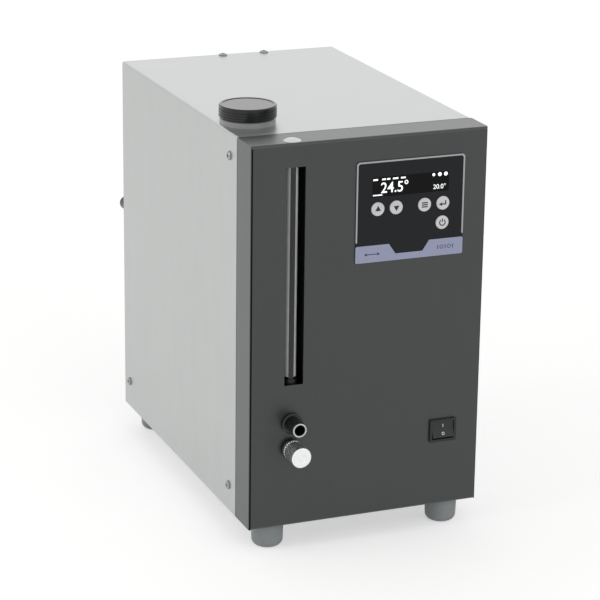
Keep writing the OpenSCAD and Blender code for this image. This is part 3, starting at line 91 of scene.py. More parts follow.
class CasingFinish(PropertyGroup):
    """Colours and grain of the sheet metal, the feet and the filler."""
    stainless: colour("Stainless", "Brushed stainless sheet of the hood", "#BBBDBC")
    panel: colour("Front panel", "Satin powder coat of the front panel", "#272A2B")
    sheet: colour("Inner sheet", "Mill finish of the rear panel and the inner walls", "#A3A6A7")
    foot: colour("Feet", "Grey rubber of the feet", "#989D9E")
    screw: colour("Screws", "Zinc plated screws", "#9C9EA0")
    cap: colour("Filler cap", "Black plastic of the filler cap", "#0D0E0F")
    # The bend colour below is a painted dark reflection along the panel's two upright bends
    bend: colour("Bend line", "Dark line along the panel's two upright bends", "#08090A")
    # The gap colour below is painted shade: a black strip put in the gap between the hood and the panel, where the
    # gap's shadow falls
    painted_shade: colour("Gap seal", "Black foam in the gap between the hood and the panel", "#0E0F0F")
    collar: colour("Filler collar", "Grey plastic of the filler's collar", "#969896")
    brush_pitch: length("Brush pitch", "Spacing of the hood's brush streaks, drawn coarser to show", 1.3)
    coat_grain: length("Coat grain", "Size of the powder coat's grain, drawn coarser to show", 0.9)


class ControlFinish(PropertyGroup):
    """Colours of the controller, the switch, the drain and the level tube's stripes."""
    foil: colour("Overlay", "Printed overlay of the controller", "#1C1D20")
    trim: colour("Trim", "Light line round the overlay", "#C2C4C7")
    strip: colour("Port strip", "Lavender strip under the overlay", "#AEB3D0")
    strip_ink: colour("Port ink", "Marks printed on the strip", "#3C4070")
    glass: colour("Display", "Display window", "#050607")
    digits: colour("Digits", "Lit digits of the display", "#F4F6F8")
    key: colour("Keys", "White keys", "#F0F0F2")
    key_ink: colour("Key ink", "Marks printed on the keys", "#17181A")
    switch: colour("Switch", "Black plastic of the switch", "#0C0D0E")
    rocker: colour("Rocker", "Black plastic of the rocker", "#1C1D1F")
    switch_ink: colour("Switch ink", "Marks printed on the rocker", "#E8EAEC")
    nozzle: colour("Nozzle", "Black plastic of the nozzles", "#121314")
    knob: colour("Drain knob", "Bright turned metal of the drain knob", "#F0F1F2")
    rim: colour("Nozzle rim", "Bright metal ring in the drain nozzle's mouth", "#C6C8CA")
    # The tube stripe colour below is a painted highlight along the sides of the clear level tube
    painted_highlight: colour("Tube stripe", "Painted stripes along the level tube", "#D8DCDC")


class MarkSizes(PropertyGroup):
    """Sizes of the printed and lit marks."""
    ink: length("Ink thickness", "How far a printed mark stands proud", 0.04)
    reading_h: length("Reading height", "Height of the display's large digits", 10.2)
    setting_h: length("Setting height", "Height of the display's small digits", 4.4)
    status_h: length("Status height", "Height of the display's status marks", 1.5)
    arrow_r: length("Arrow size", "Radius of the arrows on the up and down keys", 3.2)
    key_stroke: length("Key stroke", "Width of the lines on the menu and enter keys", 1.1)
    power_stroke: length("Power stroke", "Width of the lines on the power key", 1.0)
    port_stroke: length("Port stroke", "Width of the straight lines on the port strip", 0.8)
    switch_h: length("Switch mark height", "Height of the I and O on the rocker", 3.0)
    switch_stroke: length("Switch stroke", "Width of the lines of the I and O", 0.7)
    switch_rise: length("Switch mark place", "Distance of the I and O from the rocker's middle", 3.8)
    rocker_face: length("Rocker face", "Distance of the rocker's face from its pin", 4.43)
    rocker_slope: angle("Rocker slope", "Slope of the rocker's two halves, away from its middle", 8.5)
    rocker_rest: angle("Rocker rest", "Turn of the rocker about its pin at rest", -8)
    reading: StringProperty(name="Reading", description="Temperature that is shown", default="24.5°")
    setting: StringProperty(name="Setting", description="Temperature that is set", default="20.0°")


class TrimSizes(PropertyGroup):
    """Sizes of the thin pieces that the solids leave out."""
    # The three sizes below place that painted shade strip in the gap between the hood and the panel
    shadow_gap_width: length("Shade gap", "Gap between the hood and the panel, which the seal fills", 1.0)
    shadow_strip_depth: length("Shade depth", "How far the seal lies under the surfaces beside it", 0.2)
    shadow_strip_thickness: length("Shade thickness", "Thickness of the seal", 0.6)
    bend_r: length("Bend radius", "Outer radius of the panel's upright bends", 2.5)
    # The three sizes below place the painted dark reflection on the bends
    bend_film: length("Bend line height", "How far a bend line stands proud", 0.02)
    bend_from: angle("Bend line start", "Turn from the panel's face to the near edge of a bend line", 24)
    bend_to: angle("Bend line end", "Turn from the panel's face to the far edge of a bend line", 60)
    # The two sizes below place the painted highlights on the level tube
    stripe_film: length("Stripe height", "How far a stripe stands proud of the level tube", 0.03)
    stripe_lift: length("Stripe lift", "Height of the stripes' lower ends above the tube's lower end", 2.0)
    rim_margin: length("Rim margin", "Plastic left bare on each side of the nozzle's rim", 0.6)
    rim_film: length("Rim height", "How far the nozzle's rim stands proud", 0.15)
    thread_pitch: length("Thread pitch", "Pitch of the pump fittings' threads", 2.0)
    thread_ridge: length("Thread height", "How far a thread's ridge stands proud of its seat", 0.6)
    thread_root: length("Thread root", "How far a thread's ridge reaches into its seat", 0.1)


class StudioSettings(PropertyGroup):
    """Camera, lamps and floor."""
    azimuth: angle("Azimuth", "Camera's turn round the object, from its front", -22.04)
    elevation: angle("Elevation", "Camera's height above the horizon", 17.87)
    roll: angle("Roll", "Camera's turn about its own axis", 0.76)
    distance: length("Distance", "Camera's distance from its target", 2358.7)
    target: FloatVectorProperty(name="Target", description="Point the camera looks at", subtype="XYZ",
                                unit="LENGTH", default=(6.84 * MM, 0, 174.84 * MM))
    sensor: FloatProperty(name="Sensor", description="Width of the sensor", default=36, unit="CAMERA")
    lens: FloatProperty(name="Lens", description="Focal length", default=146.93, unit="CAMERA")
    floor_size: length("Floor", "Side of the floor", 30000)
    floor_colour: colour("Floor colour", "Plain pale floor", "#EBEBEA")
    floor_glow: light_level("Floor glow", "Light that the floor adds to itself where it is seen", 0.48)
    world_level: light_level("Sky level", "Light from all round", 0.55)
    back_level: light_level("Back lamp", "Radiance of the lamp above and behind", 0.3)
    left_level: light_level("Left lamp", "Radiance of the lamp on the left", 1.0)
    front_level: light_level("Front lamp", "Radiance of the lamp in front", 0.9)


SETTINGS = {
    "chiller_casing": CasingFinish,
    "chiller_controls": ControlFinish,
    "chiller_marks": MarkSizes,
    "chiller_trim": TrimSizes,
    "chiller_studio": StudioSettings,
}


def node_of(name):
    """The frame's object of that name."""
    return frame["nodes"][name]


def named(rows, name):
    """The row of that name, from the record's mounts or the frame's joints."""
    return next(row for row in rows if row["name"] == name)


def mount(name):
    """Place, radius and length of the record's mount of that name, in metres."""
    row = named(frame["record"]["mounts"], name)
    return Vector(row["pos_m"]), row["dims"]["r_mm"] * MM, row["dims"]["length_mm"] * MM


def front_middle(name):
    """Middle of a node's front face."""
    low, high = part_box(name)
    return Vector(((low.x + high.x) / 2, low.y, (low.z + high.z) / 2))


def coat(name, material):
    """Gives a material to one node."""
    mesh = node_of(name).data
    mesh.materials.clear()
    mesh.materials.append(material)


def dress(slot, material):
    """Gives a material to each node of a record's material slot."""
    names = [row["node"] for row in frame["record"]["subparts"] if row["material_slot"] == slot]
    if not names:
        raise RuntimeError(f"no node has the material slot {slot}")
    for name in names:
        coat(name, material)


def add(tree, kind, inputs=None, **settings):
    """Adds one shader node with its settings. An input is a value or another node's output socket."""
    node = tree.nodes.new(kind)
    for key, value in settings.items():
        setattr(node, key, value)
    for socket, value in (inputs or {}).items():
        if isinstance(value, bpy.types.NodeSocket):
            tree.links.new(value, node.inputs[socket])
        else:
            node.inputs[socket].default_value = value
    return node


def new_material(name, **sockets):
    """Material with one Principled shader, its constants set on its own sockets. Returns all three."""
    material = bpy.data.materials.new(name)
    material.use_nodes = True
    tree = material.node_tree
    tree.nodes.clear()
    titles = {key.replace("_", " ").title().replace("Ior", "IOR"): value for key, value in sockets.items()}
    shader = add(tree, "ShaderNodeBsdfPrincipled", titles)
    add(tree, "ShaderNodeOutputMaterial", {"Surface": shader.outputs["BSDF"]})
    return material, tree, shader


def scaled(rgba, share):
    """A colour made lighter or darker by a share."""
    return [min(1.0, c * share) for c in rgba[:3]] + [1.0]


def object_noise(tree, pitch, stretch=(1, 1, 1), detail=2.0):
    """Noise on object coordinates, with features about one pitch apart, drawn out along an axis."""
    place = add(tree, "ShaderNodeTexCoord").outputs["Object"]
    mapped = add(tree, "ShaderNodeMapping", {"Vector": place, "Scale": [1 / (pitch * s) for s in stretch]})
    noise = add(tree, "ShaderNodeTexNoise",
                {"Vector": mapped.outputs["Vector"], "Scale": 1.0, "Detail": detail, "Roughness": 0.5})
    return noise.outputs["Fac"]


def mixed_noise(tree, share, first, second):
    """Mix of two noises, with the second's share."""
    return add(tree, "ShaderNodeMix", {0: share, 2: first, 3: second}).outputs[0]


def spread(tree, noise, low, high, start=0.35, end=0.65):
    """Maps the middle of a noise's range onto low to high."""
    return add(tree, "ShaderNodeMapRange", {0: noise, 1: start, 2: end, 3: low, 4: high}).outputs[0]


def vary_colour(tree, shader, factor, tone, dark, light):
    """Base colour that drifts between a darker and a lighter share of a tone."""
    mix = add(tree, "ShaderNodeMix", {0: factor, 6: scaled(tone, dark), 7: scaled(tone, light)},
              data_type="RGBA")
    tree.links.new(mix.outputs[2], shader.inputs["Base Color"])


def vary_roughness(tree, shader, noise, low, high):
    """Roughness that drifts between two values."""
    tree.links.new(spread(tree, noise, low, high), shader.inputs["Roughness"])


def add_bump(tree, shader, height, distance):
    """Gives a shader a bump of a real height in metres."""
    bump = add(tree, "ShaderNodeBump", {"Height": height, "Distance": distance, "Strength": 1.0})
    tree.links.new(bump.outputs["Normal"], shader.inputs["Normal"])


def brushed_stainless(casing):
    """Stainless steel sheet, brushed across its width: long faint streaks and a satin sheen."""
    material, tree, shader = new_material("brushed_stainless_sheet", metallic=1.0, roughness=0.36)
    streaks = object_noise(tree, casing.brush_pitch, stretch=(70, 1, 70), detail=3)
    clouds = object_noise(tree, 24 * MM, stretch=(2, 1, 2), detail=3)
    grain = mixed_noise(tree, 0.5, streaks, clouds)
    vary_colour(tree, shader, spread(tree, grain, 0, 1, 0.38, 0.62), casing.stainless, 0.955, 1.04)
    vary_roughness(tree, shader, grain, 0.32, 0.41)
    add_bump(tree, shader, streaks, 0.004 * MM)
    return material


def powder_coat(casing):
    """Steel sheet with a satin dark grey powder coat: a fine grain and a faint upright drift of tone."""
    material, tree, shader = new_material("satin_powder_coat", roughness=0.42, coat_weight=0.52,
                                          coat_roughness=0.3)
    grain = object_noise(tree, casing.coat_grain)
    drift = object_noise(tree, 9 * MM, stretch=(1, 1, 9))
    tone = spread(tree, mixed_noise(tree, 0.6, grain, drift), 0, 1)
    vary_colour(tree, shader, tone, casing.panel, 0.93, 1.07)
    vary_roughness(tree, shader, grain, 0.39, 0.46)
    add_bump(tree, shader, grain, 0.006 * MM)
    return material


def mill_finish(casing):
    """Rolled stainless sheet as it comes from the mill: grey, with a faint grain along its length."""
    material, tree, shader = new_material("mill_finish_sheet", metallic=1.0, roughness=0.42)
    grain = object_noise(tree, 1.6 * MM, stretch=(1, 1, 30), detail=3)
    vary_colour(tree, shader, spread(tree, grain, 0, 1), casing.sheet, 0.92, 1.05)
    vary_roughness(tree, shader, grain, 0.38, 0.48)
    return material


def moulded_plastic(name, tone, roughness, grain=0.7, depth=0.01, coat_weight=0.0, gloss=0.5):
    """Moulded plastic or rubber with the mould's fine texture, its grain and depth in millimetres."""
    material, tree, shader = new_material(name, roughness=roughness, coat_weight=coat_weight,
                                          coat_roughness=0.1, specular_ior_level=gloss)
    texture = object_noise(tree, grain * MM)
    drift = object_noise(tree, 12 * MM)
    vary_colour(tree, shader, spread(tree, drift, 0, 1), tone, 0.95, 1.05)
    vary_roughness(tree, shader, texture, roughness * 0.92, roughness * 1.08)
    add_bump(tree, shader, texture, depth * MM)
    return material


def plated_metal(name, tone, roughness, grain=1.2):
    """Turned or plated metal: bright, with tool marks that change the sheen, grain millimetres apart."""
    material, tree, shader = new_material(name, metallic=1.0, roughness=roughness)
    marks = object_noise(tree, grain * MM, detail=3)
    vary_colour(tree, shader, spread(tree, marks, 0, 1), tone, 0.93, 1.04)
    vary_roughness(tree, shader, marks, roughness * 0.85, roughness * 1.2)
    return material


def printed(name, tone, roughness=0.4, glow=0.0, gloss=0.5):
    """Screen-printed ink or a lit mark: an even film with a slight grain."""
    material, tree, shader = new_material(name, roughness=roughness, specular_ior_level=gloss)
    vary_colour(tree, shader, spread(tree, object_noise(tree, 0.8 * MM), 0, 1), tone, 0.96, 1.03)
    if glow:
        shader.inputs["Emission Color"].default_value = tone
        shader.inputs["Emission Strength"].default_value = glow
    return material


def clear_tube():
    """Extruded clear polymer tube, smooth, with faint draw lines. Its dark tint is painted shade that darkens the
    tube's middle, where the dark channel behind shows through.
    """
    # The dark base colour below is painted shade for the tube's middle
    material, tree, shader = new_material("clear_polymer_tube", base_color=linear("#2E3232"),
                                          roughness=0.08, transmission_weight=1.0, ior=1.49,
                                          specular_ior_level=0.1)
    draw_lines = object_noise(tree, 0.8 * MM, stretch=(1, 1, 60))
    add_bump(tree, shader, draw_lines, 0.0015 * MM)
    return material


def display_glass(tone):
    """Smoked acrylic window: black and glossy, with a little dust."""
    material, tree, shader = new_material("smoked_acrylic_window", roughness=0.12, specular_ior_level=0.12)
    dust = object_noise(tree, 3 * MM)
    vary_colour(tree, shader, dust, tone, 0.8, 1.3)
    vary_roughness(tree, shader, dust, 0.1, 0.16)
    return material


def finish_piece(name, bm, material, body):
    """Makes the piece's object from its bmesh, gives it its material, and lets it ride on its body."""
    bmesh.ops.recalc_face_normals(bm, faces=bm.faces)
    mesh = bpy.data.meshes.new(name)
    bm.to_mesh(mesh)
    bm.free()
    mesh.materials.append(material)
    piece = bpy.data.objects.new(name, mesh)
    bpy.context.scene.collection.objects.link(piece)
    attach(piece, body)


def facing_front(place):
    """Matrix that stands a flat drawing up on the front: X to the right, Y up, Z towards the viewer."""
    return Matrix.Translation(place) @ Matrix.Rotation(math.pi / 2, 4, "X")


def spin_edge(bm, ends, axis, sweep, steps, closed=False):
    """Sweeps the edge between two points round an upright axis."""
    verts = [bm.verts.new(end) for end in ends]
    edge = bm.edges.new(verts)
    bmesh.ops.spin(bm, geom=[*verts, edge], cent=axis, axis=(0, 0, 1), angle=sweep, steps=steps,
                   use_merge=closed)


def add_wall_strip(bm, axis, radius, heights, start, sweep, steps):
    """Upright strip of a round wall, between two heights."""
    turned = Matrix.Translation(axis) @ Matrix.Rotation(start, 4, "Z")
    spin_edge(bm, [turned @ Vector((radius, 0, z)) for z in heights], axis, sweep, steps)


def add_bar(bm, centre, size):
    """Flat bar of a drawing."""
    matrix = Matrix.Translation((*centre, 0)) @ Matrix.Diagonal((*size, 1, 1))
    bmesh.ops.create_grid(bm, x_segments=1, y_segments=1, size=0.5, matrix=matrix)


def add_polygon(bm, centre, radius, sides, turn=0.0):
    """Flat regular polygon of a drawing, such as an arrow head or a dot."""
    matrix = Matrix.Translation((*centre, 0)) @ Matrix.Rotation(turn, 4, "Z")
    bmesh.ops.create_circle(bm, cap_ends=True, radius=radius, segments=sides, matrix=matrix)


def add_arc(bm, centre, outer, inner, start=0.0, sweep=FULL_TURN, steps=24):
    """Flat ring of a drawing, or a stretch of one."""
    axis = Vector((*centre, 0))
    turned = Matrix.Translation(axis) @ Matrix.Rotation(start, 4, "Z")
    ends = [turned @ Vector((r, 0, 0)) for r in (inner, outer)]
    spin_edge(bm, ends, axis, sweep, steps, closed=sweep == FULL_TURN)


def add_text(bm, words, height, centre, weight=0.0, squeeze=1.0):
    """Flat lettering of a drawing, centred and of that height."""
    curve = bpy.data.curves.new("lettering", "FONT")
    curve.body = words
    curve.align_x, curve.align_y = "CENTER", "CENTER"
    curve.offset = weight
    holder = bpy.data.objects.new("lettering", curve)
    mesh = bpy.data.meshes.new_from_object(holder)
    across = [v.co.x for v in mesh.vertices]
    up = [v.co.y for v in mesh.vertices]
    middle = Vector(((max(across) + min(across)) / 2, (max(up) + min(up)) / 2, 0))
    scale = height / (max(up) - min(up))
    mesh.transform(Matrix.Translation((*centre, 0)) @ Matrix.Diagonal((scale * squeeze, scale, 1, 1))
                   @ Matrix.Translation(-middle))
    bm.from_mesh(mesh)
    bpy.data.objects.remove(holder)
    bpy.data.curves.remove(curve)
    bpy.data.meshes.remove(mesh)


def raise_drawing(bm, thickness, matrix):
    """Turns the flat drawing into a thin film and puts it in its place."""
    bmesh.ops.remove_doubles(bm, verts=bm.verts, dist=1e-7)
    made = bmesh.ops.extrude_face_region(bm, geom=bm.faces[:])
    top = [v for v in made["geom"] if isinstance(v, bmesh.types.BMVert)]
    bmesh.ops.translate(bm, vec=(0, 0, thickness), verts=top)
    bmesh.ops.transform(bm, matrix=matrix, verts=bm.verts)


class CHILLER_OT_stage(Operator):
    """Sets the camera, the lamps, the sky and the floor"""
    bl_idname = "chiller.stage"
    bl_label = "Studio"

    def execute(self, context):
        studio = context.scene.chiller_studio
        self.add_camera(context.scene, studio)
        self.add_floor(context.scene, studio)
        self.add_sky(context.scene, studio)
        self.add_lamps(context.scene, studio)
        context.scene.view_settings.view_transform = "Standard"
        return {"FINISHED"}

    def add_camera(self, scene, studio):
        """Camera on its sphere round the target, turned by the roll."""
        a, e = studio.azimuth, studio.elevation
        back = Vector((math.sin(a) * math.cos(e), -math.cos(a) * math.cos(e), math.sin(e)))
        data = bpy.data.cameras.new("studio_camera")
        data.sensor_width = studio.sensor
        data.lens = studio.lens
        data.clip_start, data.clip_end = 0.05, 100
        camera = bpy.data.objects.new("studio_camera", data)
        camera.rotation_mode = "QUATERNION"
        camera.location = Vector(studio.target) + back * studio.distance
        level = (-back).to_track_quat("-Z", "Y").to_matrix().to_4x4()
        camera.rotation_quaternion = (level @ Matrix.Rotation(studio.roll, 4, "Z")).to_quaternion()
        scene.collection.objects.link(camera)
        scene.camera = camera

    def add_floor(self, scene, studio):
        """Wide pale floor that glows a little where it is seen, so that it meets the white of the sky."""
        bm = bmesh.new()
        bmesh.ops.create_grid(bm, x_segments=1, y_segments=1, size=studio.floor_size / 2)
        mesh = bpy.data.meshes.new("studio_floor")
        bm.to_mesh(mesh)
        bm.free()
        material, tree, shader = new_material("pale_floor", base_color=studio.floor_colour, roughness=0.9,
                                              specular_ior_level=0.0, emission_color=(1, 1, 1, 1))
        tree.links.new(self.seen_directly(tree, studio.floor_glow), shader.inputs["Emission Strength"])
        mesh.materials.append(material)
        floor = bpy.data.objects.new("studio_floor", mesh)
        scene.collection.objects.link(floor)

    def seen_directly(self, tree, strength, rest=0.0):
        """Strength for rays from the camera, off gloss and through glass, and rest for all others."""
        path = add(tree, "ShaderNodeLightPath").outputs
        seen = path["Is Camera Ray"]
        for ray in ("Is Glossy Ray", "Is Transmission Ray"):
            seen = add(tree, "ShaderNodeMath", {0: seen, 1: path[ray]}, operation="MAXIMUM").outputs[0]
        return add(tree, "ShaderNodeMapRange", {0: seen, 3: rest, 4: strength}).outputs[0]

    def add_sky(self, scene, studio):
        """Even white sky, brighter where it is seen than where it lights."""
        world = bpy.data.worlds.new("studio_sky")
        world.use_nodes = True
        tree = world.node_tree
        tree.nodes.clear()
        strength = self.seen_directly(tree, 1.0, studio.world_level)
        sky = add(tree, "ShaderNodeBackground", {"Color": (1, 1, 1, 1), "Strength": strength})
        add(tree, "ShaderNodeOutputWorld", {"Surface": sky.outputs[0]})
        scene.world = world

    def add_lamps(self, scene, studio):
        """Three soft boxes that face the middle of the casing. Places and sizes are in metres."""
        aim = Vector((0, 0, 0.2))
        lamps = [
            ("back_lamp", (0.95, 2.4, 1.25), (2.6, 1.3), studio.back_level),
            ("left_lamp", (-2.4, 0.2, 1.3), (2.0, 1.6), studio.left_level),
            ("front_lamp", (0.8, -2.6, 1.8), (2.0, 1.4), studio.front_level),
        ]
        for name, place, size, radiance in lamps:
            data = bpy.data.lights.new(name, "AREA")
            data.shape = "RECTANGLE"
            data.size, data.size_y = size
            data.energy = radiance * math.pi * size[0] * size[1]
            lamp = bpy.data.objects.new(name, data)
            lamp.location = place
            lamp.rotation_euler = (aim - Vector(place)).to_track_quat("-Z", "Y").to_euler()
            scene.collection.objects.link(lamp)


class CHILLER_OT_casing(Operator):
    """Finishes the sheet metal, the feet and the screws, and adds the painted shade in the gap and the painted
    dark reflections along the bends
    """
    bl_idname = "chiller.casing"
    bl_label = "Casing"

    def execute(self, context):
        casing, trim = context.scene.chiller_casing, context.scene.chiller_trim
        dress("brushed_stainless", brushed_stainless(casing))
        dress("panel_paint", powder_coat(casing))
        dress("grey_sheet", mill_finish(casing))
        dress("foot_rubber", moulded_plastic("moulded_grey_rubber", casing.foot, 0.55, depth=0.02))
        dress("screw_steel", plated_metal("zinc_plated_steel", casing.screw, 0.2))
        self.add_gap_shadow_strip(casing, trim)
        self.add_bend_reflections(casing, trim)
        return {"FINISHED"}

    def add_bend_reflections(self, casing, trim):
        """Painted dark reflection: a black strip along each upright bend of the panel, where the face turns to the
        flange.
        """
        low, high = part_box("front_panel")
        bend_x = (high.x - low.x) / 2 - trim.bend_r
        heights = (low.z, high.z - trim.bend_r)
        front = math.radians(-90)
        bm = bmesh.new()
        for x, start in ((-bend_x, front - trim.bend_to), (bend_x, front + trim.bend_from)):
            axis = Vector((x, low.y + trim.bend_r, 0))
            add_wall_strip(bm, axis, trim.bend_r + trim.bend_film, heights, start,
                           trim.bend_to - trim.bend_from, steps=8)
        # Painted dark reflection: black material for the thin strip over each bend
        line = moulded_plastic("painted_bend_reflection", casing.bend, 0.7, grain=0.9, depth=0.004, gloss=0.1)
        finish_piece("panel_bend_reflections", bm, line, "casing")

    def add_gap_shadow_strip(self, casing, trim):
        """Painted shade: a black strip in the gap between the hood's front edge and the panel, on both sides and
        the top, where the gap's shadow falls.
        """
        low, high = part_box("hood")
        left, right, top = low.x + trim.shadow_strip_depth, high.x - trim.shadow_strip_depth, high.z - trim.shadow_strip_depth
        bars = [(left, low.z, left + trim.shadow_strip_thickness, top),
                (right - trim.shadow_strip_thickness, low.z, right, top),
                (left, top - trim.shadow_strip_thickness, right, top)]
        bm = bmesh.new()
        for x0, z0, x1, z1 in bars:
            centre = ((x0 + x1) / 2, low.y - trim.shadow_gap_width / 2, (z0 + z1) / 2)
            matrix = Matrix.Translation(centre) @ Matrix.Diagonal((x1 - x0, trim.shadow_gap_width, z1 - z0, 1))
            bmesh.ops.create_cube(bm, size=1, matrix=matrix)
        # Painted shade: black material for the strip that stands in for the gap's shadow
        shade_paint = moulded_plastic("black_gap_shadow_paint", casing.painted_shade, 0.9, grain=1.2, depth=0.05)
        finish_piece("painted_gap_shadow", bm, shade_paint, "casing")


class CHILLER_OT_filler(Operator):
    """Finishes the filler, its cap and the reservoir under it"""
    bl_idname = "chiller.filler"
    bl_label = "Filler and reservoir"

    def execute(self, context):
        casing = context.scene.chiller_casing
        dress("cap_plastic", moulded_plastic("glossy_black_abs", casing.cap, 0.22, depth=0.004,
                                             coat_weight=0.3, gloss=0.3))
        dress("neck_plastic", moulded_plastic("glossy_grey_abs", casing.collar, 0.25, depth=0.004))
        dress("gasket_rubber", moulded_plastic("moulded_black_rubber", linear("#1C1D1D"), 0.7, depth=0.02))
        dress("tank_steel", plated_metal("deep_drawn_stainless", linear("#B9BCBE"), 0.34))
        dress("insulation_foam", moulded_plastic("closed_cell_foam", linear("#2B2D2F"), 0.85,
                                                 grain=1.5, depth=0.2))
        return {"FINISHED"}


class CHILLER_OT_sight_glass(Operator):
    """Finishes the level tube, its fittings and its plug, and lays two light stripes of painted highlight along
    the tube
    """
    bl_idname = "chiller.sight_glass"
    bl_label = "Sight glass"

    def execute(self, context):
        dress("clear_tube", clear_tube())
        dress("fitting_plastic", moulded_plastic("moulded_charcoal_nylon", linear("#101112"), 0.45))
        dress("white_plastic", moulded_plastic("glossy_white_polyamide", linear("#F4F4F2"), 0.2,
                                               depth=0.003))
        self.add_painted_highlights(context.scene.chiller_controls, context.scene.chiller_trim)
        return {"FINISHED"}

    def add_painted_highlights(self, controls, trim):
        """Painted highlights: two light upright strips on the tube's wall, in place of the light that the sides of
        a clear tube gather.
        """
        low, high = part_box("level_tube")
        axis = (low + high) / 2
        axis.z = 0
        radius = (high.x - low.x) / 2 + trim.stripe_film
        heights = (low.z + trim.stripe_lift, high.z)
        # Start and sweep in degrees, where 0 is the tube's right and -90 its front
        stripes = ((-176, 54), (-72, 34))
        bm = bmesh.new()
        for start, sweep in stripes:
            add_wall_strip(bm, axis, radius, heights, math.radians(start), math.radians(sweep), steps=10)
        # Painted highlight: light material for the two strips on the tube's sides
        highlight_paint = moulded_plastic("painted_tube_highlight", controls.painted_highlight, 0.3, depth=0.002)
        finish_piece("level_tube_highlights", bm, highlight_paint, "casing")


class CHILLER_OT_drain(Operator):
    """Finishes the drain nozzle, its valve and its knob, and adds the nozzle's rim"""
    bl_idname = "chiller.drain"
    bl_label = "Drain"

    def execute(self, context):
        controls, trim = context.scene.chiller_controls, context.scene.chiller_trim
        dress("black_plastic", moulded_plastic("glossy_black_polyamide", controls.nozzle, 0.3, depth=0.005))
        dress("valve_brass", plated_metal("milled_brass", linear("#C6A15B"), 0.3))
        dress("knob_metal", plated_metal("turned_bright_aluminium", controls.knob, 0.3, grain=3))
        self.add_nozzle_rim(controls, trim)
        return {"FINISHED"}

    def add_nozzle_rim(self, controls, trim):
        """Thin metal ring round the mouth of the drain nozzle."""
        mouth, bore_r, _ = mount("drain_bore")
        _, pipe_r, _ = mount("drain_hose_seat")
        mouth.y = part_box("drain_nozzle")[0].y
        bm = bmesh.new()
        add_arc(bm, (0, 0), pipe_r - trim.rim_margin, bore_r + trim.rim_margin, steps=48)
        raise_drawing(bm, trim.rim_film, facing_front(mouth))
        tinned = plated_metal("bright_tinned_brass", controls.rim, 0.3)
        finish_piece("drain_nozzle_rim", bm, tinned, "casing")


class CHILLER_OT_switch(Operator):
    """Finishes the switch and prints its I and O"""
    bl_idname = "chiller.switch"
    bl_label = "Switch"

    def execute(self, context):
        controls, marks = context.scene.chiller_controls, context.scene.chiller_marks
        dress("switch_plastic", moulded_plastic("matt_black_polyamide", controls.switch, 0.4))
        coat("switch_rocker", moulded_plastic("matt_black_rocker", controls.rocker, 0.45))
        ink = printed("white_switch_ink", controls.switch_ink)
        low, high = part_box("switch_rocker")
        pin = Vector(named(frame["joints"], "rocker_tilt")["pos_m"])
        pin.x = (low.x + high.x) / 2
        at_rest = Matrix.Translation(pin) @ Matrix.Rotation(marks.rocker_rest, 4, "X")
        for name, side in (("rocker_mark_on", 1), ("rocker_mark_off", -1)):
            bm = bmesh.new()
            if side > 0:
                add_bar(bm, (0, 0), (marks.switch_stroke, marks.switch_h))
            else:
                add_arc(bm, (0, 0), marks.switch_h / 2, marks.switch_h / 2 - marks.switch_stroke)
            on_face = (Matrix.Translation((0, -marks.rocker_face, 0))
                       @ Matrix.Rotation(side * marks.rocker_slope, 4, "X")
                       @ facing_front((0, 0, side * marks.switch_rise)))
            raise_drawing(bm, marks.ink, at_rest @ on_face)
            finish_piece(name, bm, ink, "power_rocker")
        return {"FINISHED"}


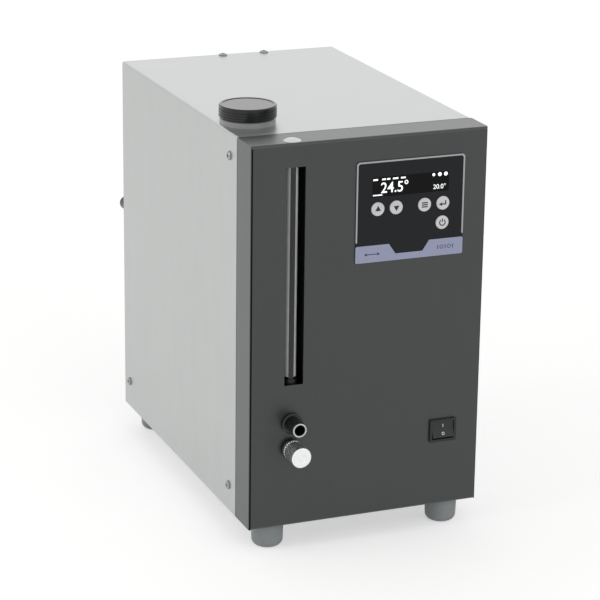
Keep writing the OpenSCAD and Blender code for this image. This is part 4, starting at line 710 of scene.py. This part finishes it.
class CHILLER_OT_controller(Operator):
    """Finishes the controller and draws its display, key symbols and port marks"""
    bl_idname = "chiller.controller"
    bl_label = "Controller"

    def execute(self, context):
        controls, marks = context.scene.chiller_controls, context.scene.chiller_marks
        dress("controller_foil", printed("printed_polyester_overlay", controls.foil, 0.42, gloss=0.2))
        dress("controller_trim", printed("printed_grey_line", controls.trim, 0.4))
        dress("interface_strip", printed("printed_lavender_strip", controls.strip, 0.45))
        dress("display_glass", display_glass(controls.glass))
        dress("key_plastic", moulded_plastic("white_silicone_keys", controls.key, 0.4))
        dress("housing_plastic", moulded_plastic("moulded_black_abs", linear("#232527"), 0.5))
        self.draw_display(controls, marks)
        self.draw_key_marks(controls, marks)
        self.draw_port_marks(controls, marks)
        return {"FINISHED"}

    def draw_display(self, controls, marks):
        """Lit marks: the reading, the setting, a row of status bars and dots, and a cursor."""
        low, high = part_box("display_window")
        w, h = high.x - low.x, high.z - low.z
        # Places and widths are shares of the window, and places start from its middle
        status_bars = ((-0.46, 0.06), (-0.35, 0.05), (-0.29, 0.04), (-0.20, 0.07), (-0.1, 0.06))
        status_dots = ((0.30, 1.4 * MM), (0.38, 1.8 * MM), (0.46, 1.8 * MM))
        status_row = 0.37 * h
        reading_at, setting_at = (-0.21 * w, -0.05 * h), (0.38 * w, -0.25 * h)
        cursor_at, cursor_size = (-0.43 * w, -0.42 * h), (0.12 * w, marks.status_h * 0.7)
        bm = bmesh.new()
        add_text(bm, marks.reading, marks.reading_h, reading_at, weight=0.008, squeeze=0.95)
        add_text(bm, marks.setting, marks.setting_h, setting_at)
        for x, wide in status_bars:
            add_bar(bm, (x * w, status_row), (wide * w, marks.status_h))
        for x, radius in status_dots:
            add_polygon(bm, (x * w, status_row), radius, sides=16)
        add_bar(bm, cursor_at, cursor_size)
        raise_drawing(bm, marks.ink, facing_front(front_middle("display_window")))
        lit = printed("lit_display_dots", controls.digits, 0.5, glow=0.9)
        finish_piece("display_marks", bm, lit, "casing")

    def draw_key_marks(self, controls, marks):
        """Prints one generic symbol on each key."""
        ink = printed("black_key_ink", controls.key_ink)
        symbols = {"key_up": self.draw_up, "key_down": self.draw_down, "key_set": self.draw_menu,
                   "key_enter": self.draw_enter, "key_power": self.draw_power}
        for key, draw_symbol in symbols.items():
            bm = bmesh.new()
            draw_symbol(bm, marks)
            raise_drawing(bm, marks.ink, facing_front(front_middle(key)))
            finish_piece(key + "_mark", bm, ink, key)

    def draw_up(self, bm, marks):
        """Triangle that points up."""
        add_polygon(bm, (0, 0), marks.arrow_r, sides=3)

    def draw_down(self, bm, marks):
        """Triangle that points down."""
        add_polygon(bm, (0, 0), marks.arrow_r, sides=3, turn=math.pi)

    def draw_menu(self, bm, marks):
        """Three level lines."""
        line_pitch, line_w = 1.9 * MM, 5.8 * MM
        for row in (-1, 0, 1):
            add_bar(bm, (0, row * line_pitch), (line_w, marks.key_stroke))

    def draw_enter(self, bm, marks):
        """Arrow that comes down and turns to the left."""
        line_at, line_w = (0.4 * MM, -0.9 * MM), 5.0 * MM
        riser_at, riser_h = (2.4 * MM, 0.5 * MM), 3.8 * MM
        head_at, head_r = (-2.2 * MM, -0.9 * MM), 2.0 * MM
        add_bar(bm, line_at, (line_w, marks.key_stroke))
        add_bar(bm, riser_at, (marks.key_stroke, riser_h))
        add_polygon(bm, head_at, head_r, sides=3, turn=math.pi / 2)

    def draw_power(self, bm, marks):
        """Ring that is open at its top, with a bar in the opening."""
        ring_r, bar_y, bar_h = 3.2 * MM, 2.0 * MM, 3.2 * MM
        start, sweep = math.radians(125), math.radians(290)
        add_arc(bm, (0, 0), ring_r, ring_r - marks.power_stroke, start, sweep)
        add_bar(bm, (0, bar_y), (marks.power_stroke, bar_h))

    def draw_port_marks(self, controls, marks):
        """Prints a generic mark for each of the strip's two ports."""
        ink = printed("blue_port_ink", controls.strip_ink)
        low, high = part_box("interface_strip")
        data_at = (low.x + 16 * MM, low.y, low.z + 7.4 * MM)
        serial_at = (high.x - 17 * MM, low.y, low.z + 8 * MM)
        marked = (("data_port_mark", self.draw_data_port, data_at),
                  ("serial_port_mark", self.draw_serial_port, serial_at))
        for name, draw_symbol, place in marked:
            bm = bmesh.new()
            draw_symbol(bm, marks)
            raise_drawing(bm, marks.ink, facing_front(place))
            finish_piece(name, bm, ink, "casing")

    def draw_data_port(self, bm, marks):
        """Line with an arrow head at each end."""
        head_x, head_r, line_w = 6 * MM, 1.7 * MM, 11 * MM
        for side in (-1, 1):
            add_polygon(bm, (side * head_x, 0), head_r, sides=3, turn=-side * math.pi / 2)
        add_bar(bm, (0, 0), (line_w, marks.port_stroke))

    def draw_serial_port(self, bm, marks):
        """Row of ones and noughts."""
        count, pitch, height = 5, 3.6 * MM, 3.8 * MM
        nought_stroke = 0.6 * MM
        for i in range(count):
            x = (i - (count - 1) / 2) * pitch
            if i % 2:
                add_arc(bm, (x, 0), height / 2, height / 2 - nought_stroke, steps=16)
            else:
                add_bar(bm, (x, 0), (marks.port_stroke, height))


class CHILLER_OT_inner_parts(Operator):
    """Finishes the cooling circuit and the water circuit inside"""
    bl_idname = "chiller.inner_parts"
    bl_label = "Inner parts"

    def execute(self, context):
        dress("compressor_enamel", moulded_plastic("black_stove_enamel", linear("#141516"), 0.25))
        dress("fin_aluminium", plated_metal("mill_finish_aluminium", linear("#C9CBCC"), 0.35))
        dress("copper_tube", plated_metal("drawn_copper_tube", linear("#C07A55"), 0.28))
        dress("hose_rubber", moulded_plastic("extruded_rubber_hose", linear("#3A3C3E"), 0.65, depth=0.03))
        return {"FINISHED"}


class CHILLER_OT_rear_fittings(Operator):
    """Finishes the pump fittings and the mains inlet, and adds the threads' ridges"""
    bl_idname = "chiller.rear_fittings"
    bl_label = "Rear fittings"

    def execute(self, context):
        steel = plated_metal("turned_stainless", linear("#B4B6B8"), 0.22, grain=7)
        dress("fitting_steel", steel)
        dress("inlet_plastic", moulded_plastic("matt_black_nylon", linear("#131415"), 0.4))
        dress("pin_metal", plated_metal("nickel_plated_brass", linear("#CFD0D0"), 0.2))
        for name in ("supply_thread", "return_thread"):
            self.add_thread(name, steel, context.scene.chiller_trim)
        return {"FINISHED"}

    def add_thread(self, name, steel, trim):
        """Helical ridge of a pump fitting's thread, as many whole turns as its seat has room for."""
        centre, radius, run = mount(name)
        pitch, steps_a_turn = trim.thread_pitch, 32
        turns = int((run - pitch) / pitch)
        start = centre.y - turns * pitch / 2
        root, crest, flank = radius - trim.thread_root, radius + trim.thread_ridge, pitch * 0.4
        bm = bmesh.new()
        profile = [bm.verts.new((centre.x + r, start + y, centre.z))
                   for r, y in ((root, -flank), (crest, 0), (root, flank))]
        edges = [bm.edges.new((profile[i - 1], profile[i])) for i in range(len(profile))]
        swept = bmesh.ops.spin(bm, geom=[*profile, *edges], cent=centre, axis=(0, 1, 0),
                               dvec=(0, pitch / steps_a_turn, 0), angle=FULL_TURN * turns,
                               steps=steps_a_turn * turns)
        bm.faces.new(profile)
        bm.faces.new([v for v in swept["geom_last"] if isinstance(v, bmesh.types.BMVert)])
        finish_piece(name + "_ridge", bm, steel, "casing")


OPERATORS = [CHILLER_OT_stage, CHILLER_OT_casing, CHILLER_OT_filler, CHILLER_OT_sight_glass,
             CHILLER_OT_drain, CHILLER_OT_switch, CHILLER_OT_controller, CHILLER_OT_inner_parts,
             CHILLER_OT_rear_fittings]


class CHILLER_PT_build(Panel):
    """Lists the chiller's operators and its settings"""
    bl_label = "Chiller"
    bl_idname = "CHILLER_PT_build"
    bl_space_type = "VIEW_3D"
    bl_region_type = "UI"
    bl_category = "Chiller"

    def draw(self, context):
        for operator in OPERATORS:
            self.layout.operator(operator.bl_idname)
        for settings in SETTINGS:
            group = getattr(context.scene, settings)
            box = self.layout.box()
            for name in group.__annotations__:
                box.prop(group, name)


CLASSES = [*SETTINGS.values(), *OPERATORS, CHILLER_PT_build]


def register():
    for cls in CLASSES:
        bpy.utils.register_class(cls)
    for name, group in SETTINGS.items():
        setattr(bpy.types.Scene, name, PointerProperty(type=group))


def unregister():
    for name in SETTINGS:
        delattr(bpy.types.Scene, name)
    for cls in reversed(CLASSES):
        bpy.utils.unregister_class(cls)


def main():
    """Registers the classes and builds everything in order."""
    register()
    for operator in OPERATORS:
        group, name = operator.bl_idname.split(".")
        getattr(getattr(bpy.ops, group), name)()


if __name__ == "__main__":
    main()
